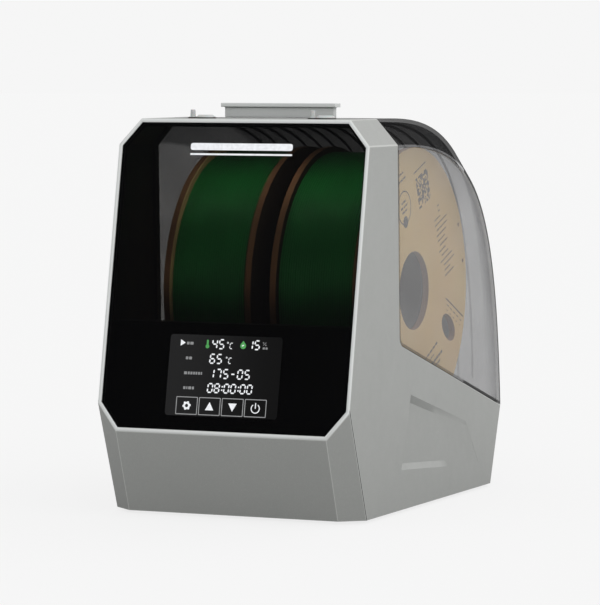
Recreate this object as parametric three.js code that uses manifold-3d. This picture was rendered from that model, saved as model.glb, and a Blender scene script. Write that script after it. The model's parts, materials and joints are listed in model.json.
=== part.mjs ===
// Filament dryer box for two spools, in millimetres, +Z up.
// The exported group has its origin at the middle of the footprint, on the surface it stands on.
// The parts are laid out from the front crease of the housing: Y runs back from that crease and
// Z up from the underside of the housing.
import * as THREE from 'three';
import { mergeVertices } from 'three/addons/utils/BufferGeometryUtils.js';
import Module from 'manifold-3d';

const wasm = await Module();
wasm.setup();

// Driving dimensions of the box.
const HALF_WIDTH = 92.5;
const HALF_FACE = 77.4; // half width of the faces between the corner chamfers
const TOP_Z = 266;
const CREASE_Z = 56; // the housing is widest from front to back here
const LEAN = THREE.MathUtils.degToRad(10.95); // backward lean of the front panel
const REAR_Y = 299; // rear crease
const UNDERCUT_FRONT = 19.8; // how far the front foot line lies behind the front crease
const UNDERCUT_REAR = 22;
const SIDE_TOP_Z = 248.5; // top edge of the flat side
const SIDE_CREASE_Z = 74.2; // where the front corner chamfer meets the side
const SIDE_FOOT_FRONT = 32.2;
const SIDE_FOOT_REAR = 264.2;
const SIDE_REAR_Y = 284.4;
const WALL = 2.6;
const FRONT_WALL = 6;
const COLLAR_TOP_Y = 86.65; // rear edge of the collar at its top
const COLLAR_FOOT = { y: 90.6, z: 117.5 }; // where the collar edge turns into the sloping rim
const RIM_FRONT = { y: 96.9, z: 111.6 };
const RIM_REAR = { y: 283.5, z: CREASE_Z };
const GAP = 0.3; // clearance between neighbouring pieces
const BEYOND = 100; // cutting solids run this far out to either side
const FOOT_HEIGHT = 2;

// Dome of the lid: one curve between the chamfers and one along the top of the flat side, each
// given by its ends and two guide points in (Y, Z).
const DOME_STEPS = 36;
const TOP_DOME = [[103.4, TOP_Z], [209.6, TOP_Z], [REAR_Y, 247.7], [REAR_Y, CREASE_Z]];
const SIDE_DOME = [[90.3, SIDE_TOP_Z], [231.4, SIDE_TOP_Z], [273.6, 210], [SIDE_REAR_Y, CREASE_Z]];

// Spools and the rollers that carry them.
const SPOOL_Y = 165;
const SPOOL_Z = 145;
const SPOOL_RADIUS = 100;
const SPOOL_BORE = 27.4;
const SPOOL_INNER_X = 7; // the two spools stand this far either side of the middle
const SPOOL_WIDTH = 66;
const FLANGE = 4.8;
const WINDING_RADIUS = 96.2;
const ROLLER_RADIUS = 10;
const ROLLER_REACH = 58.5; // rollers lie this far in front of and behind the spool's centre
const ROLLER_DISTANCE = SPOOL_RADIUS + ROLLER_RADIUS + GAP;
const ROLLER_Z = SPOOL_Z - Math.sqrt(ROLLER_DISTANCE ** 2 - ROLLER_REACH ** 2);
const AXLE_RADIUS = 3;
const AXLE_HALF_LENGTH = 85.5;

// Floor of the drying chamber, and the warm-air unit below it.
const FLOOR_Z = 38;
const FLOOR_THICKNESS = 2;
const AIR = { x: -42, y: 165, half: 35 };

// Lid hinge at the rear crease.
const HINGE = { y: REAR_Y + 3.4, z: CREASE_Z, radius: 2.8, bore: 1.5, pin: 1.2, x: 40, half: 14 };

// Outlets on top of the collar.
const OUTLET_Y = 64;
const OUTLETS = { left: -39.8, right: 49.3 };
const OUTLET_BORE = 3;
const STOPPER_OFFSET = 9.7;
const STOPPER_AXIS_Z = TOP_Z + 1.9;

const X = new THREE.Vector3(1, 0, 0);
const Y = new THREE.Vector3(0, 1, 0);
const Z = new THREE.Vector3(0, 0, 1);

// Overall depth: from the front crease to the back of the hinge barrels.
const DEPTH = HINGE.y + HINGE.radius;

const finish = (color, roughness, metalness = 0) => (
  new THREE.MeshStandardMaterial({ color, roughness, metalness })
);
const FINISH = {
  housing: finish(0x9a9f9a, 0.45, 0.2),
  panel: finish(0x0a0a0b, 0.08),
  smoke: finish(0x2a2a2c, 0.15),
  milk: finish(0xa6a6a9, 0.25),
  grey: finish(0x8e938f, 0.5),
  black: finish(0x18181a, 0.6),
  rubber: finish(0x222224, 0.9),
  silicone: finish(0xe4e6e4, 0.5),
  card: finish(0xa98a66, 0.9),
  filament: finish(0x12502c, 0.35),
  steel: finish(0xb8babc, 0.25, 1),
  aluminium: finish(0xc4c6c8, 0.35, 1),
  board: finish(0x14502e, 0.5),
};

const assembly = new THREE.Group();
assembly.position.set(0, -DEPTH / 2, FOOT_HEIGHT);

// ---------------------------------------------------------------- solids

// Turns a closed geometry into a solid for joining and cutting.
function solid(geometry, matrix = new THREE.Matrix4()) {
  const bare = geometry.clone().applyMatrix4(matrix);
  bare.deleteAttribute('normal');
  bare.deleteAttribute('uv');
  const merged = mergeVertices(bare, 1e-4);
  const place = merged.attributes.position;
  const corner = (k) => new THREE.Vector3().fromBufferAttribute(place, k);
  const kept = [];
  let volume = 0;
  for (let k = 0; k < merged.index.count; k += 3) {
    const [a, b, c] = [0, 1, 2].map((step) => merged.index.getX(k + step));
    if (a === b || b === c || c === a) continue;
    kept.push([a, b, c]);
    volume += corner(a).dot(corner(b).cross(corner(c)));
  }
  const outward = volume < 0 ? kept.map(([a, b, c]) => [a, c, b]) : kept;
  return new wasm.Manifold(new wasm.Mesh({
    numProp: 3,
    vertProperties: new Float32Array(place.array),
    triVerts: new Uint32Array(outward.flat()),
  }));
}

// Adds a solid to the model as one named mesh, in the given group.
function piece(name, body, material, parent = assembly) {
  const mesh = body.getMesh();
  const geometry = new THREE.BufferGeometry();
  geometry.setAttribute('position', new THREE.BufferAttribute(mesh.vertProperties, 3));
  geometry.setIndex(new THREE.BufferAttribute(mesh.triVerts, 1));
  geometry.computeVertexNormals();
  const result = new THREE.Mesh(geometry, material);
  result.name = name;
  parent.add(result);
  return result;
}

const join = (first, ...others) => others.reduce((sum, next) => sum.add(next), first);
const cut = (first, ...others) => others.reduce((rest, next) => rest.subtract(next), first);

const outlineOf = (pairs) => pairs.map(([a, b]) => new THREE.Vector2(a, b));

function extrude(outline, depth, basis) {
  const shape = new THREE.Shape(outline);
  return solid(new THREE.ExtrudeGeometry(shape, { depth, bevelEnabled: false }), basis);
}

// Prisms: an outline in (Y, Z) along X, or one in (X, Y) along Z.
function prismX(outline, x0, x1) {
  const basis = new THREE.Matrix4().makeBasis(Y, Z, X).setPosition(x0, 0, 0);
  return extrude(outline, x1 - x0, basis);
}
function prismZ(outline, z0, z1) {
  return extrude(outline, z1 - z0, new THREE.Matrix4().setPosition(0, 0, z0));
}

function block(x0, x1, y0, y1, z0, z1) {
  const geometry = new THREE.BoxGeometry(x1 - x0, y1 - y0, z1 - z0);
  return solid(geometry.translate((x0 + x1) / 2, (y0 + y1) / 2, (z0 + z1) / 2));
}

// A round bar from one end to the other, which may taper.
function bar(from, to, radius, sides = 24, endRadius = radius) {
  const start = new THREE.Vector3(...from);
  const run = new THREE.Vector3(...to).sub(start);
  const geometry = new THREE.CylinderGeometry(endRadius, radius, run.length(), sides);
  geometry.translate(0, run.length() / 2, 0);
  const turn = new THREE.Quaternion().setFromUnitVectors(Y, run.normalize());
  return solid(geometry, new THREE.Matrix4().makeRotationFromQuaternion(turn).setPosition(start));
}

// A body turned about the line through (y, z) along X; the profile lists (x, radius).
function turnedX(profile, y, z, sides) {
  const points = profile.map(([x, radius]) => new THREE.Vector2(radius, x));
  const closed = [...points, points[0].clone()];
  const turn = new THREE.Matrix4().makeRotationZ(-Math.PI / 2).setPosition(0, y, z);
  return solid(new THREE.LatheGeometry(closed, sides), turn);
}

// A closed skin through rings of corners, each ring given by its outline in (Y, Z) and its X, which
// is one number or one for each corner.
function loftX(sections) {
  const count = sections[0].outline.length;
  const positions = sections.flatMap(({ x, outline }) => (
    outline.flatMap((p, k) => [Array.isArray(x) ? x[k] : x, p.x, p.y])
  ));
  const index = [];
  for (let k = 0; k + 1 < sections.length; k += 1) {
    for (let i = 0; i < count; i += 1) {
      const j = (i + 1) % count;
      const [a, b, c, d] = [k * count + i, k * count + j, (k + 1) * count + i, (k + 1) * count + j];
      index.push(a, b, d, a, d, c);
    }
  }
  const fan = Array.from({ length: count - 2 }, (_, k) => [0, k + 1, k + 2]);
  const cap = ({ x, outline }) => (
    Array.isArray(x) ? fan : THREE.ShapeUtils.triangulateShape(outline, [])
  );
  const last = (sections.length - 1) * count;
  for (const [a, b, c] of cap(sections[0])) index.push(a, c, b);
  for (const [a, b, c] of cap(sections.at(-1))) index.push(last + a, last + b, last + c);
  const geometry = new THREE.BufferGeometry();
  geometry.setAttribute('position', new THREE.Float32BufferAttribute(positions, 3));
  geometry.setIndex(index);
  return solid(geometry);
}

// Moves every edge of a closed outline inwards by a distance, or by one distance for each edge.
// Edges that turn by less than about 2 degrees are taken as one straight line.
const STRAIGHT = 0.03;
function inset(outline, distance) {
  const count = outline.length;
  const side = THREE.ShapeUtils.isClockWise(outline) ? -1 : 1;
  const far = (k) => (typeof distance === 'number' ? distance : distance[k]);
  const normal = (k) => {
    const run = outline[(k + 1) % count].clone().sub(outline[k]).normalize();
    return new THREE.Vector2(-run.y * side, run.x * side);
  };
  return outline.map((point, k) => {
    const before = (k + count - 1) % count;
    const [m, n] = [normal(before), normal(k)];
    const spread = m.x * n.y - m.y * n.x;
    if (Math.abs(spread) < STRAIGHT) {
      return point.clone().addScaledVector(m.add(n).normalize(), (far(before) + far(k)) / 2);
    }
    return point.clone().add(new THREE.Vector2(
      (far(before) * n.y - far(k) * m.y) / spread,
      (far(k) * m.x - far(before) * n.x) / spread,
    ));
  });
}

// A group whose X and Y run along the given directions, for pieces laid out on a sloping wall.
function slopingFrame(origin, across, up) {
  const out = across.clone().cross(up);
  return new THREE.Matrix4().makeBasis(across, up, out).setPosition(origin);
}

function groupAt(matrix) {
  const group = new THREE.Group();
  matrix.decompose(group.position, group.quaternion, group.scale);
  assembly.add(group);
  return group;
}

// ---------------------------------------------------------------- outer shape

const panelY = (z) => (z - CREASE_Z) * Math.tan(LEAN);

// Points of a dome curve, from its rear end to its front end.
function domePoints(guide) {
  const curve = new THREE.CubicBezierCurve(...outlineOf(guide));
  return curve.getPoints(DOME_STEPS).reverse().map((point) => [point.x, point.y]);
}

// The outline between the chamfers and the outline of the flat side hold matching points.
const FACE_OUTLINE = outlineOf([
  [UNDERCUT_FRONT, 0],
  [REAR_Y - UNDERCUT_REAR, 0],
  ...domePoints(TOP_DOME),
  [COLLAR_TOP_Y, TOP_Z],
  [panelY(TOP_Z), TOP_Z],
  [0, CREASE_Z],
]);
const SIDE_OUTLINE = outlineOf([
  [SIDE_FOOT_FRONT, 0],
  [SIDE_FOOT_REAR, 0],
  ...domePoints(SIDE_DOME),
  [COLLAR_TOP_Y, SIDE_TOP_Z],
  [panelY(SIDE_TOP_Z), SIDE_TOP_Z],
  [panelY(SIDE_CREASE_Z), SIDE_CREASE_Z],
]);

function skin(faceOutline, sideOutline, halfFace, halfWidth) {
  return loftX([
    { x: -halfWidth, outline: sideOutline },
    { x: -halfFace, outline: faceOutline },
    { x: halfFace, outline: faceOutline },
    { x: halfWidth, outline: sideOutline },
  ]);
}

// The space inside walls of the given thickness, open through the underside.
const OPEN_BELOW = -10;
function hollow(thickness, frontThickness) {
  const slant = thickness * Math.tan(Math.PI / 8); // a 45 degree chamfer moves this much
  const distances = (value) => FACE_OUTLINE.map((_, k) => {
    if (k === 0) return OPEN_BELOW;
    return k === FACE_OUTLINE.length - 2 ? frontThickness : value;
  });
  return skin(
    inset(FACE_OUTLINE, distances(thickness)),
    inset(SIDE_OUTLINE, distances(slant)),
    HALF_FACE - slant,
    HALF_WIDTH - thickness,
  );
}

// The region of the lid, seen from the side: behind the collar and above the sloping rim.
// Its corners above the roof and behind the rear wall lie outside the box.
function lidRegion() {
  const [farY, farZ] = [REAR_Y + 31, TOP_Z + 34];
  const rate = (COLLAR_FOOT.y - COLLAR_TOP_Y) / (TOP_Z - COLLAR_FOOT.z);
  const path = new THREE.Path();
  path.moveTo(COLLAR_TOP_Y - (farZ - TOP_Z) * rate, farZ);
  path.lineTo(COLLAR_FOOT.y, COLLAR_FOOT.z);
  path.quadraticCurveTo(COLLAR_FOOT.y + 0.2, COLLAR_FOOT.z - 3.8, RIM_FRONT.y, RIM_FRONT.z);
  path.lineTo(RIM_REAR.y, RIM_REAR.z);
  path.lineTo(farY, RIM_REAR.z);
  path.lineTo(farY, farZ);
  return path.getPoints(5);
}

// The region of the lower front fascia, seen from the side: in front of the side seam.
function fasciaRegion(shift) {
  const seam = (z) => {
    const rate = (panelY(SIDE_CREASE_Z) - SIDE_FOOT_FRONT) / SIDE_CREASE_Z;
    return SIDE_FOOT_FRONT + shift + rate * z;
  };
  const [before, below, above] = [-30, -10, 100];
  return outlineOf([[before, below], [seam(below), below], [seam(above), above], [before, above]]);
}

const PANEL = slopingFrame(
  new THREE.Vector3(0, 0, CREASE_Z),
  X,
  new THREE.Vector3(0, Math.sin(LEAN), Math.cos(LEAN)),
);
const REAR_SLOPE = slopingFrame(
  new THREE.Vector3(0, REAR_Y - UNDERCUT_REAR, 0),
  X.clone().negate(),
  new THREE.Vector3(0, UNDERCUT_REAR, CREASE_Z).normalize(),
);
const panelLength = (z) => (z - CREASE_Z) / Math.cos(LEAN);
const PANEL_OUTLINE = outlineOf([
  [-HALF_FACE, 0],
  [HALF_FACE, 0],
  [HALF_WIDTH, panelLength(SIDE_CREASE_Z)],
  [HALF_WIDTH, panelLength(SIDE_TOP_Z)],
  [HALF_FACE, panelLength(TOP_Z)],
  [-HALF_FACE, panelLength(TOP_Z)],
  [-HALF_WIDTH, panelLength(SIDE_TOP_Z)],
  [-HALF_WIDTH, panelLength(SIDE_CREASE_Z)],
]);
const GLASS_RIM = 2.6; // width of the bright ring around the glass
const GLASS_LEDGE = 4.6; // width hidden behind the ring and the edge of the glass
const GLASS_BACK = -3.4;

const rectangle = (x0, x1, y0, y1) => outlineOf([[x0, y0], [x1, y0], [x1, y1], [x0, y1]]);

// A plate on a sloping frame: outline in the frame's plane, from one height above it to another.
function plate(outline, low, high, frameMatrix = new THREE.Matrix4()) {
  const rise = new THREE.Matrix4().setPosition(0, 0, low);
  return extrude(outline, high - low, frameMatrix.clone().multiply(rise));
}

// ---------------------------------------------------------------- housing

// Finger recess in a side wall: deepest at its front end and running out to the rear. The bands
// along its upper and lower edges keep their width while the floor between them rises.
const GRIP = {
  upper: [[110.4, 77.6], [214, 50]], // front and rear end of each band's outer edge, in (Y, Z)
  lower: [[93.8, 27.4], [241, 16.8]],
  band: 4.3,
  depth: 3.5,
  shallow: 0.06,
  steps: 10,
};
function gripPocket(side) {
  const along = ([front, rear], share) => (
    new THREE.Vector2(...front).lerp(new THREE.Vector2(...rear), share)
  );
  const ring = (share, floorShare) => {
    const depth = THREE.MathUtils.lerp(GRIP.depth, GRIP.shallow, share);
    const [upper, lower] = [along(GRIP.upper, share), along(GRIP.lower, share)];
    const [above, below] = [along(GRIP.upper, floorShare), along(GRIP.lower, floorShare)];
    const step = above.clone().sub(below).setLength(GRIP.band);
    const outline = [upper, upper, above.sub(step), below.add(step), lower, lower];
    const rises = [1, 0, -depth, -depth, 0, 1];
    return { x: rises.map((rise) => (HALF_WIDTH + rise) * side), outline };
  };
  const rings = [ring(0, 0.022)]; // the front wall leans a little
  for (let k = 1; k <= GRIP.steps; k += 1) rings.push(ring(k / GRIP.steps, k / GRIP.steps));
  return loftX(rings);
}

// Thickens the wall behind the recess.
function gripBacking(side) {
  const outline = outlineOf([[89, 22], [172, 22], [172, 66], [106, 83]]);
  const [near, far] = [86.6, HALF_WIDTH - WALL + 0.2].map((x) => x * side);
  return prismX(outline, Math.min(near, far), Math.max(near, far));
}

const SCREW_PLACES = {
  front_left: [-82, 46], front_right: [82, 46], rear_left: [-82, 246], rear_right: [82, 246],
};

// A post for a base screw, tied to the side wall by a web.
function screwBoss([x, y]) {
  const [low, high, web] = [3.4, 24, 1.5];
  const wall = Math.sign(x) * (HALF_WIDTH - WALL + 0.3);
  const [near, far] = [x, wall].sort((a, b) => a - b);
  return cut(
    join(bar([x, y, low], [x, y, high], 4.5, 16), block(near, far, y - web, y + web, low, high)),
    bar([x, y, low - 0.4], [x, y, 17], 1.6, 12),
  );
}

// Air slots through the rear wall, in a row of even pitch.
const SLOT_PITCH = 8;
function rearVents() {
  const slots = [];
  for (let k = 0; k < 7; k += 1) {
    const x = -22 - SLOT_PITCH * k;
    slots.push(plate(rectangle(x - 1.5, x + 1.5, 12, 34), -8, 3, REAR_SLOPE));
  }
  return slots;
}

const outerSkin = skin(FACE_OUTLINE, SIDE_OUTLINE, HALF_FACE, HALF_WIDTH);
const shell = cut(outerSkin, hollow(WALL, FRONT_WALL));
const glassSeat = plate(inset(PANEL_OUTLINE, GLASS_RIM), GLASS_BACK - GAP, 5, PANEL);
const glassOpening = plate(inset(PANEL_OUTLINE, GLASS_LEDGE), -20, 5, PANEL);
const frontCut = join(glassSeat, glassOpening);

// Openings in the rear wall: s runs up its slope, and half and rise are half sizes.
const INLET = { x: 52, s: 23, half: 13.5, rise: 10 };
const SWITCH = { x: 20, s: 23, half: 6.5, rise: 9.5 };

function wallOpening({ x, s, half, rise }) {
  return plate(rectangle(x - half, x + half, s - rise, s + rise), -12, 4, REAR_SLOPE);
}

function makeHousing() {
  const ribs = [-1, 1].map((side) => {
    const [a, b] = [82 * side, 90.2 * side];
    return block(Math.min(a, b), Math.max(a, b), 60, 236, FLOOR_Z - 4, FLOOR_Z - GAP);
  });
  const bosses = Object.values(SCREW_PLACES).map(screwBoss);
  const walls = join(shell, gripBacking(-1), gripBacking(1), ...ribs, ...bosses);
  const outlets = Object.values(OUTLETS).map((x) => (
    bar([x, OUTLET_Y, TOP_Z - 8], [x, OUTLET_Y, TOP_Z + 2], 4.5, 20)
  ));
  return cut(
    walls,
    prismX(inset(lidRegion(), -GAP), -BEYOND, BEYOND),
    prismX(fasciaRegion(1 + GAP), -BEYOND, BEYOND),
    frontCut,
    gripPocket(-1),
    gripPocket(1),
    wallOpening(INLET),
    wallOpening(SWITCH),
    ...rearVents(),
    ...outlets,
  );
}

piece('main_housing', makeHousing(), FINISH.housing);
piece('front_fascia', cut(
  shell.intersect(prismX(fasciaRegion(1), -BEYOND, BEYOND)),
  frontCut,
), FINISH.housing);

// ---------------------------------------------------------------- front panel

const panelGroup = groupAt(PANEL);
piece('front_glass', plate(inset(PANEL_OUTLINE, GLASS_RIM + GAP), GLASS_BACK, -0.4),
  FINISH.panel, panelGroup);
piece('display_module', plate(rectangle(-43, 41, 29, 68), -8, GLASS_BACK - 0.4),
  FINISH.black, panelGroup);
piece('touch_key_board', plate(rectangle(-43, 41, 10, 28), -5.6, GLASS_BACK - 0.4),
  FINISH.board, panelGroup);

// The control board carries its chips on the rear; each is listed by its middle and its size.
function makeControlBoard() {
  const boardFace = -12;
  const chips = [[-40, 50, 9], [-14, 50, 12], [22, 48, 8], [40, 24, 10], [-30, 22, 7]];
  const parts = chips.map(([x, s, size]) => (
    plate(rectangle(x - size / 2, x + size / 2, s - size / 2, s + size / 2), boardFace - 5,
      boardFace - 1)
  ));
  return join(plate(rectangle(-56, 56, 12, 62), boardFace - 1.6, boardFace), ...parts);
}
piece('control_board', makeControlBoard(), FINISH.board, panelGroup);

// ---------------------------------------------------------------- underside

const BASE_OUTLINE = outlineOf([
  [-76, 23.6], [76, 23.6], [89.4, 34.6], [89.4, 262.6], [76, 273.6], [-76, 273.6],
  [-89.4, 262.6], [-89.4, 34.6],
]);

function baseSlots() {
  const slots = [];
  for (let k = 0; k < 8; k += 1) {
    const x = AIR.x - 28 + SLOT_PITCH * k;
    slots.push(block(x - 1.5, x + 1.5, 140, 190, 0, 4));
  }
  return slots;
}

function makeBasePlate() {
  const holes = Object.values(SCREW_PLACES).flatMap(([x, y]) => [
    bar([x, y, 0], [x, y, 2], 3.6, 16),
    bar([x, y, 0], [x, y, 4], 1.6, 12),
  ]);
  return cut(prismZ(BASE_OUTLINE, 0.4, 3), ...holes, ...baseSlots());
}
piece('base_plate', makeBasePlate(), FINISH.black);

for (const [place, [x, y]] of Object.entries(SCREW_PLACES)) {
  const head = bar([x, y, 0.4], [x, y, 1.7], 3.2, 16);
  piece(`base_screw_${place}`, join(head, bar([x, y, 1], [x, y, 16], 1.2, 12)), FINISH.steel);
  const foot = [x * 0.86, y < 150 ? 62 : 232];
  piece(`foot_${place}`, bar([...foot, -FOOT_HEIGHT], [...foot, 0.1], 8, 24, 7.4), FINISH.rubber);
}

// ---------------------------------------------------------------- chamber

const frontRollerY = SPOOL_Y - ROLLER_REACH;
const rearRollerY = SPOOL_Y + ROLLER_REACH;

// Warm air rises through the first row of slots and returns through the second.
function floorGrille() {
  const slots = [];
  for (let k = 0; k < 8; k += 1) {
    const x = AIR.x - 28 + SLOT_PITCH * k;
    slots.push(block(x - 1.8, x + 1.8, AIR.y - 31, AIR.y + 31, FLOOR_Z - 1, FLOOR_Z + 3));
  }
  const [returnStart, returnPitch] = [22, 9];
  for (let k = 0; k < 6; k += 1) {
    const x = returnStart + returnPitch * k;
    slots.push(block(x - 1.8, x + 1.8, 244, 268, FLOOR_Z - 1, FLOOR_Z + 3));
  }
  return slots;
}

function makeChamberFloor() {
  const outline = outlineOf([
    [-75, 13], [75, 13], [86.2, 24], [86.2, 272], [75, 284], [-75, 284], [-86.2, 272], [-86.2, 24],
  ]);
  const posts = [];
  const holes = [];
  for (const y of [frontRollerY, rearRollerY]) {
    for (const [x0, x1] of [[-84, -77], [-3, 3], [77, 84]]) {
      posts.push(block(x0, x1, y - 8, y + 8, FLOOR_Z + 1, ROLLER_Z + 6));
    }
    holes.push(bar([-95, y, ROLLER_Z], [95, y, ROLLER_Z], AXLE_RADIUS + GAP, 20));
  }
  const sheet = prismZ(outline, FLOOR_Z, FLOOR_Z + FLOOR_THICKNESS);
  return cut(join(sheet, ...posts), ...holes, ...floorGrille());
}
piece('chamber_floor', makeChamberFloor(), FINISH.black);

const PARTITION_TOP = 129;
const partitionFront = panelY(PARTITION_TOP) + 7.2;
const partitionOutline = outlineOf([
  [34, FLOOR_Z + FLOOR_THICKNESS + GAP], [36, FLOOR_Z + FLOOR_THICKNESS + GAP],
  [36, PARTITION_TOP], [partitionFront, PARTITION_TOP], [partitionFront, PARTITION_TOP - 2],
  [34, PARTITION_TOP - 2],
]);
piece('front_partition', prismX(partitionOutline, -86, 86), FINISH.black);
piece('humidity_sensor_board', join(
  block(50, 70, 36.4, 38, 66, 86),
  block(56, 64, 37.6, 40.4, 74, 81),
), FINISH.board);

for (const [place, y] of [['front', frontRollerY], ['rear', rearRollerY]]) {
  piece(`roller_axle_${place}`,
    bar([-AXLE_HALF_LENGTH, y, ROLLER_Z], [AXLE_HALF_LENGTH, y, ROLLER_Z], AXLE_RADIUS, 20),
    FINISH.steel);
}

// A roller has a thick tyre under each flange of its spool and a thinner sleeve between.
function makeRoller(inner, side, y) {
  const outer = inner + SPOOL_WIDTH;
  const tyre = 9;
  const sleeve = 7;
  const bore = AXLE_RADIUS + GAP;
  const profile = [
    [inner, bore], [inner, ROLLER_RADIUS], [inner + tyre, ROLLER_RADIUS], [inner + tyre, sleeve],
    [outer - tyre, sleeve], [outer - tyre, ROLLER_RADIUS], [outer, ROLLER_RADIUS], [outer, bore],
  ];
  return turnedX(profile.map(([x, radius]) => [x * side, radius]), y, ROLLER_Z, 24);
}

// A card flange with its bore, a slot for the filament's end and two holes near the rim.
const PIN_HOLE = 1.5;
const PIN_HOLE_REACH = 94.5;
function makeFlange(x, side) {
  const disc = turnedX([
    [x, SPOOL_BORE], [x, SPOOL_RADIUS], [x + FLANGE, SPOOL_RADIUS], [x + FLANGE, SPOOL_BORE],
  ].map(([at, radius]) => [at * side, radius]), SPOOL_Y, SPOOL_Z, 60);
  const slot = new THREE.Shape();
  const [y, z] = [SPOOL_Y + 65.5, SPOOL_Z - 30];
  slot.absellipse(y, z, 14.1, 8.3, 0, Math.PI * 2, false, THREE.MathUtils.degToRad(-30));
  const slotCut = prismX(slot.getPoints(8), -BEYOND, BEYOND);
  const pinHoles = [26.9, 10.1].map((degrees) => {
    const angle = THREE.MathUtils.degToRad(degrees);
    const py = SPOOL_Y + PIN_HOLE_REACH * Math.cos(angle);
    const pz = SPOOL_Z + PIN_HOLE_REACH * Math.sin(angle);
    return bar([-BEYOND, py, pz], [BEYOND, py, pz], PIN_HOLE, 8);
  });
  return cut(disc, slotCut, ...pinHoles);
}

function ringX(x0, x1, inner, outer, side, sides) {
  const profile = [[x0, inner], [x0, outer], [x1, outer], [x1, inner]];
  return turnedX(profile.map(([x, radius]) => [x * side, radius]), SPOOL_Y, SPOOL_Z, sides);
}

for (const [name, side] of [['left', -1], ['right', 1]]) {
  const spool = `spool_${name}`;
  const [inner, outer] = [SPOOL_INNER_X, SPOOL_INNER_X + SPOOL_WIDTH];
  const [windingStart, windingEnd] = [inner + FLANGE + GAP, outer - FLANGE - GAP];
  const coreRadius = SPOOL_BORE + 3.6;
  piece(`${spool}_inner_flange`, makeFlange(inner, side), FINISH.card);
  piece(`${spool}_outer_flange`, makeFlange(outer - FLANGE, side), FINISH.card);
  piece(`${spool}_core`, ringX(windingStart, windingEnd, SPOOL_BORE, coreRadius, side, 40),
    FINISH.card);
  piece(`${spool}_winding`,
    ringX(windingStart, windingEnd, coreRadius + GAP, WINDING_RADIUS, side, 60), FINISH.filament);
  piece(`roller_${name}_front`, makeRoller(inner, side, frontRollerY), FINISH.rubber);
  piece(`roller_${name}_rear`, makeRoller(inner, side, rearRollerY), FINISH.rubber);
}

// ---------------------------------------------------------------- warm air unit

const square = (half) => rectangle(AIR.x - half, AIR.x + half, AIR.y - half, AIR.y + half);
const HUB_RADIUS = 13;
const FAN_RADIUS = 32;
const FAN_LOW = 5;
const FAN_HIGH = 20;

function makeFanFrame() {
  const well = bar([AIR.x, AIR.y, FAN_LOW + 1.8], [AIR.x, AIR.y, FAN_HIGH + 1], FAN_RADIUS + 1, 40);
  const mouth = bar([AIR.x, AIR.y, FAN_LOW - 1], [AIR.x, AIR.y, FAN_LOW + 2], FAN_RADIUS + 1, 40);
  const cross = [45, 135].map((degrees) => {
    const turn = new THREE.Matrix4().makeRotationZ(THREE.MathUtils.degToRad(degrees));
    const place = new THREE.Matrix4().setPosition(AIR.x, AIR.y, FAN_LOW + 0.9).multiply(turn);
    return solid(new THREE.BoxGeometry(2 * FAN_RADIUS + 6, 3, 1.8), place);
  });
  const seat = bar([AIR.x, AIR.y, FAN_LOW], [AIR.x, AIR.y, FAN_LOW + 1.8], HUB_RADIUS, 24);
  const frame = cut(prismZ(square(AIR.half), FAN_LOW, FAN_HIGH), well, mouth);
  return join(frame, seat, ...cross);
}

function makeImpeller() {
  const hub = bar([AIR.x, AIR.y, FAN_LOW + 2.2], [AIR.x, AIR.y, FAN_HIGH - 2], HUB_RADIUS, 24);
  const blades = [];
  const bladeCount = 7;
  for (let k = 0; k < bladeCount; k += 1) {
    const reach = FAN_RADIUS - HUB_RADIUS + 2;
    const blade = new THREE.BoxGeometry(reach, 14, 1.4);
    blade.rotateX(THREE.MathUtils.degToRad(38)).translate(HUB_RADIUS + reach / 2 - 3, 0, 0);
    blade.rotateZ((2 * Math.PI * k) / bladeCount);
    blades.push(solid(blade.translate(AIR.x, AIR.y, (FAN_LOW + FAN_HIGH) / 2)));
  }
  return join(hub, ...blades);
}

// A block with two rows of air channels, which leave thin fins and a rim between them.
function makeHeater() {
  const half = AIR.half - 0.5;
  const [low, high] = [22, 34];
  const [rim, bridge, channel, pitch] = [4, 3, 2.6, 7.55];
  const channels = [];
  for (let k = 0; k < 9; k += 1) {
    const x = AIR.x + pitch * (k - 4);
    const [x0, x1] = [x - channel, x + channel];
    channels.push(block(x0, x1, AIR.y - half + rim, AIR.y - bridge, low - 1, high + 1));
    channels.push(block(x0, x1, AIR.y + bridge, AIR.y + half - rim, low - 1, high + 1));
  }
  return cut(prismZ(square(half), low, high), ...channels);
}

piece('fan_frame', makeFanFrame(), FINISH.black);
piece('fan_impeller', makeImpeller(), FINISH.black);
piece('heater_core', makeHeater(), FINISH.aluminium);
piece('air_duct', cut(
  prismZ(square(AIR.half + 2), FAN_HIGH + GAP, FLOOR_Z - GAP),
  prismZ(square(AIR.half), FAN_HIGH, FLOOR_Z),
), FINISH.black);

// ---------------------------------------------------------------- power supply

// A board with three capacitors, a connector block and a heat sink.
const BOARD = { x0: 8, x1: 84, y0: 92, y1: 216, z: 9 };
function makePowerBoard() {
  const sheet = block(BOARD.x0, BOARD.x1, BOARD.y0, BOARD.y1, BOARD.z, BOARD.z + 1.6);
  const parts = [[24, 110], [24, 128], [66, 196]].map(([x, y]) => (
    bar([x, y, BOARD.z + 1], [x, y, BOARD.z + 20], 6.5, 16)
  ));
  return join(
    sheet,
    ...parts,
    block(12, 34, 190, 208, BOARD.z + 1, BOARD.z + 14),
    block(70, 74, 100, 150, BOARD.z + 1, BOARD.z + 20),
  );
}
piece('power_supply_board', makePowerBoard(), FINISH.board);
piece('power_transformer', join(
  block(34, 60, 144, 176, BOARD.z + 1.9, BOARD.z + 22),
  block(30, 64, 150, 170, BOARD.z + 5, BOARD.z + 18),
), FINISH.black);

const rearGroup = groupAt(REAR_SLOPE);

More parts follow.
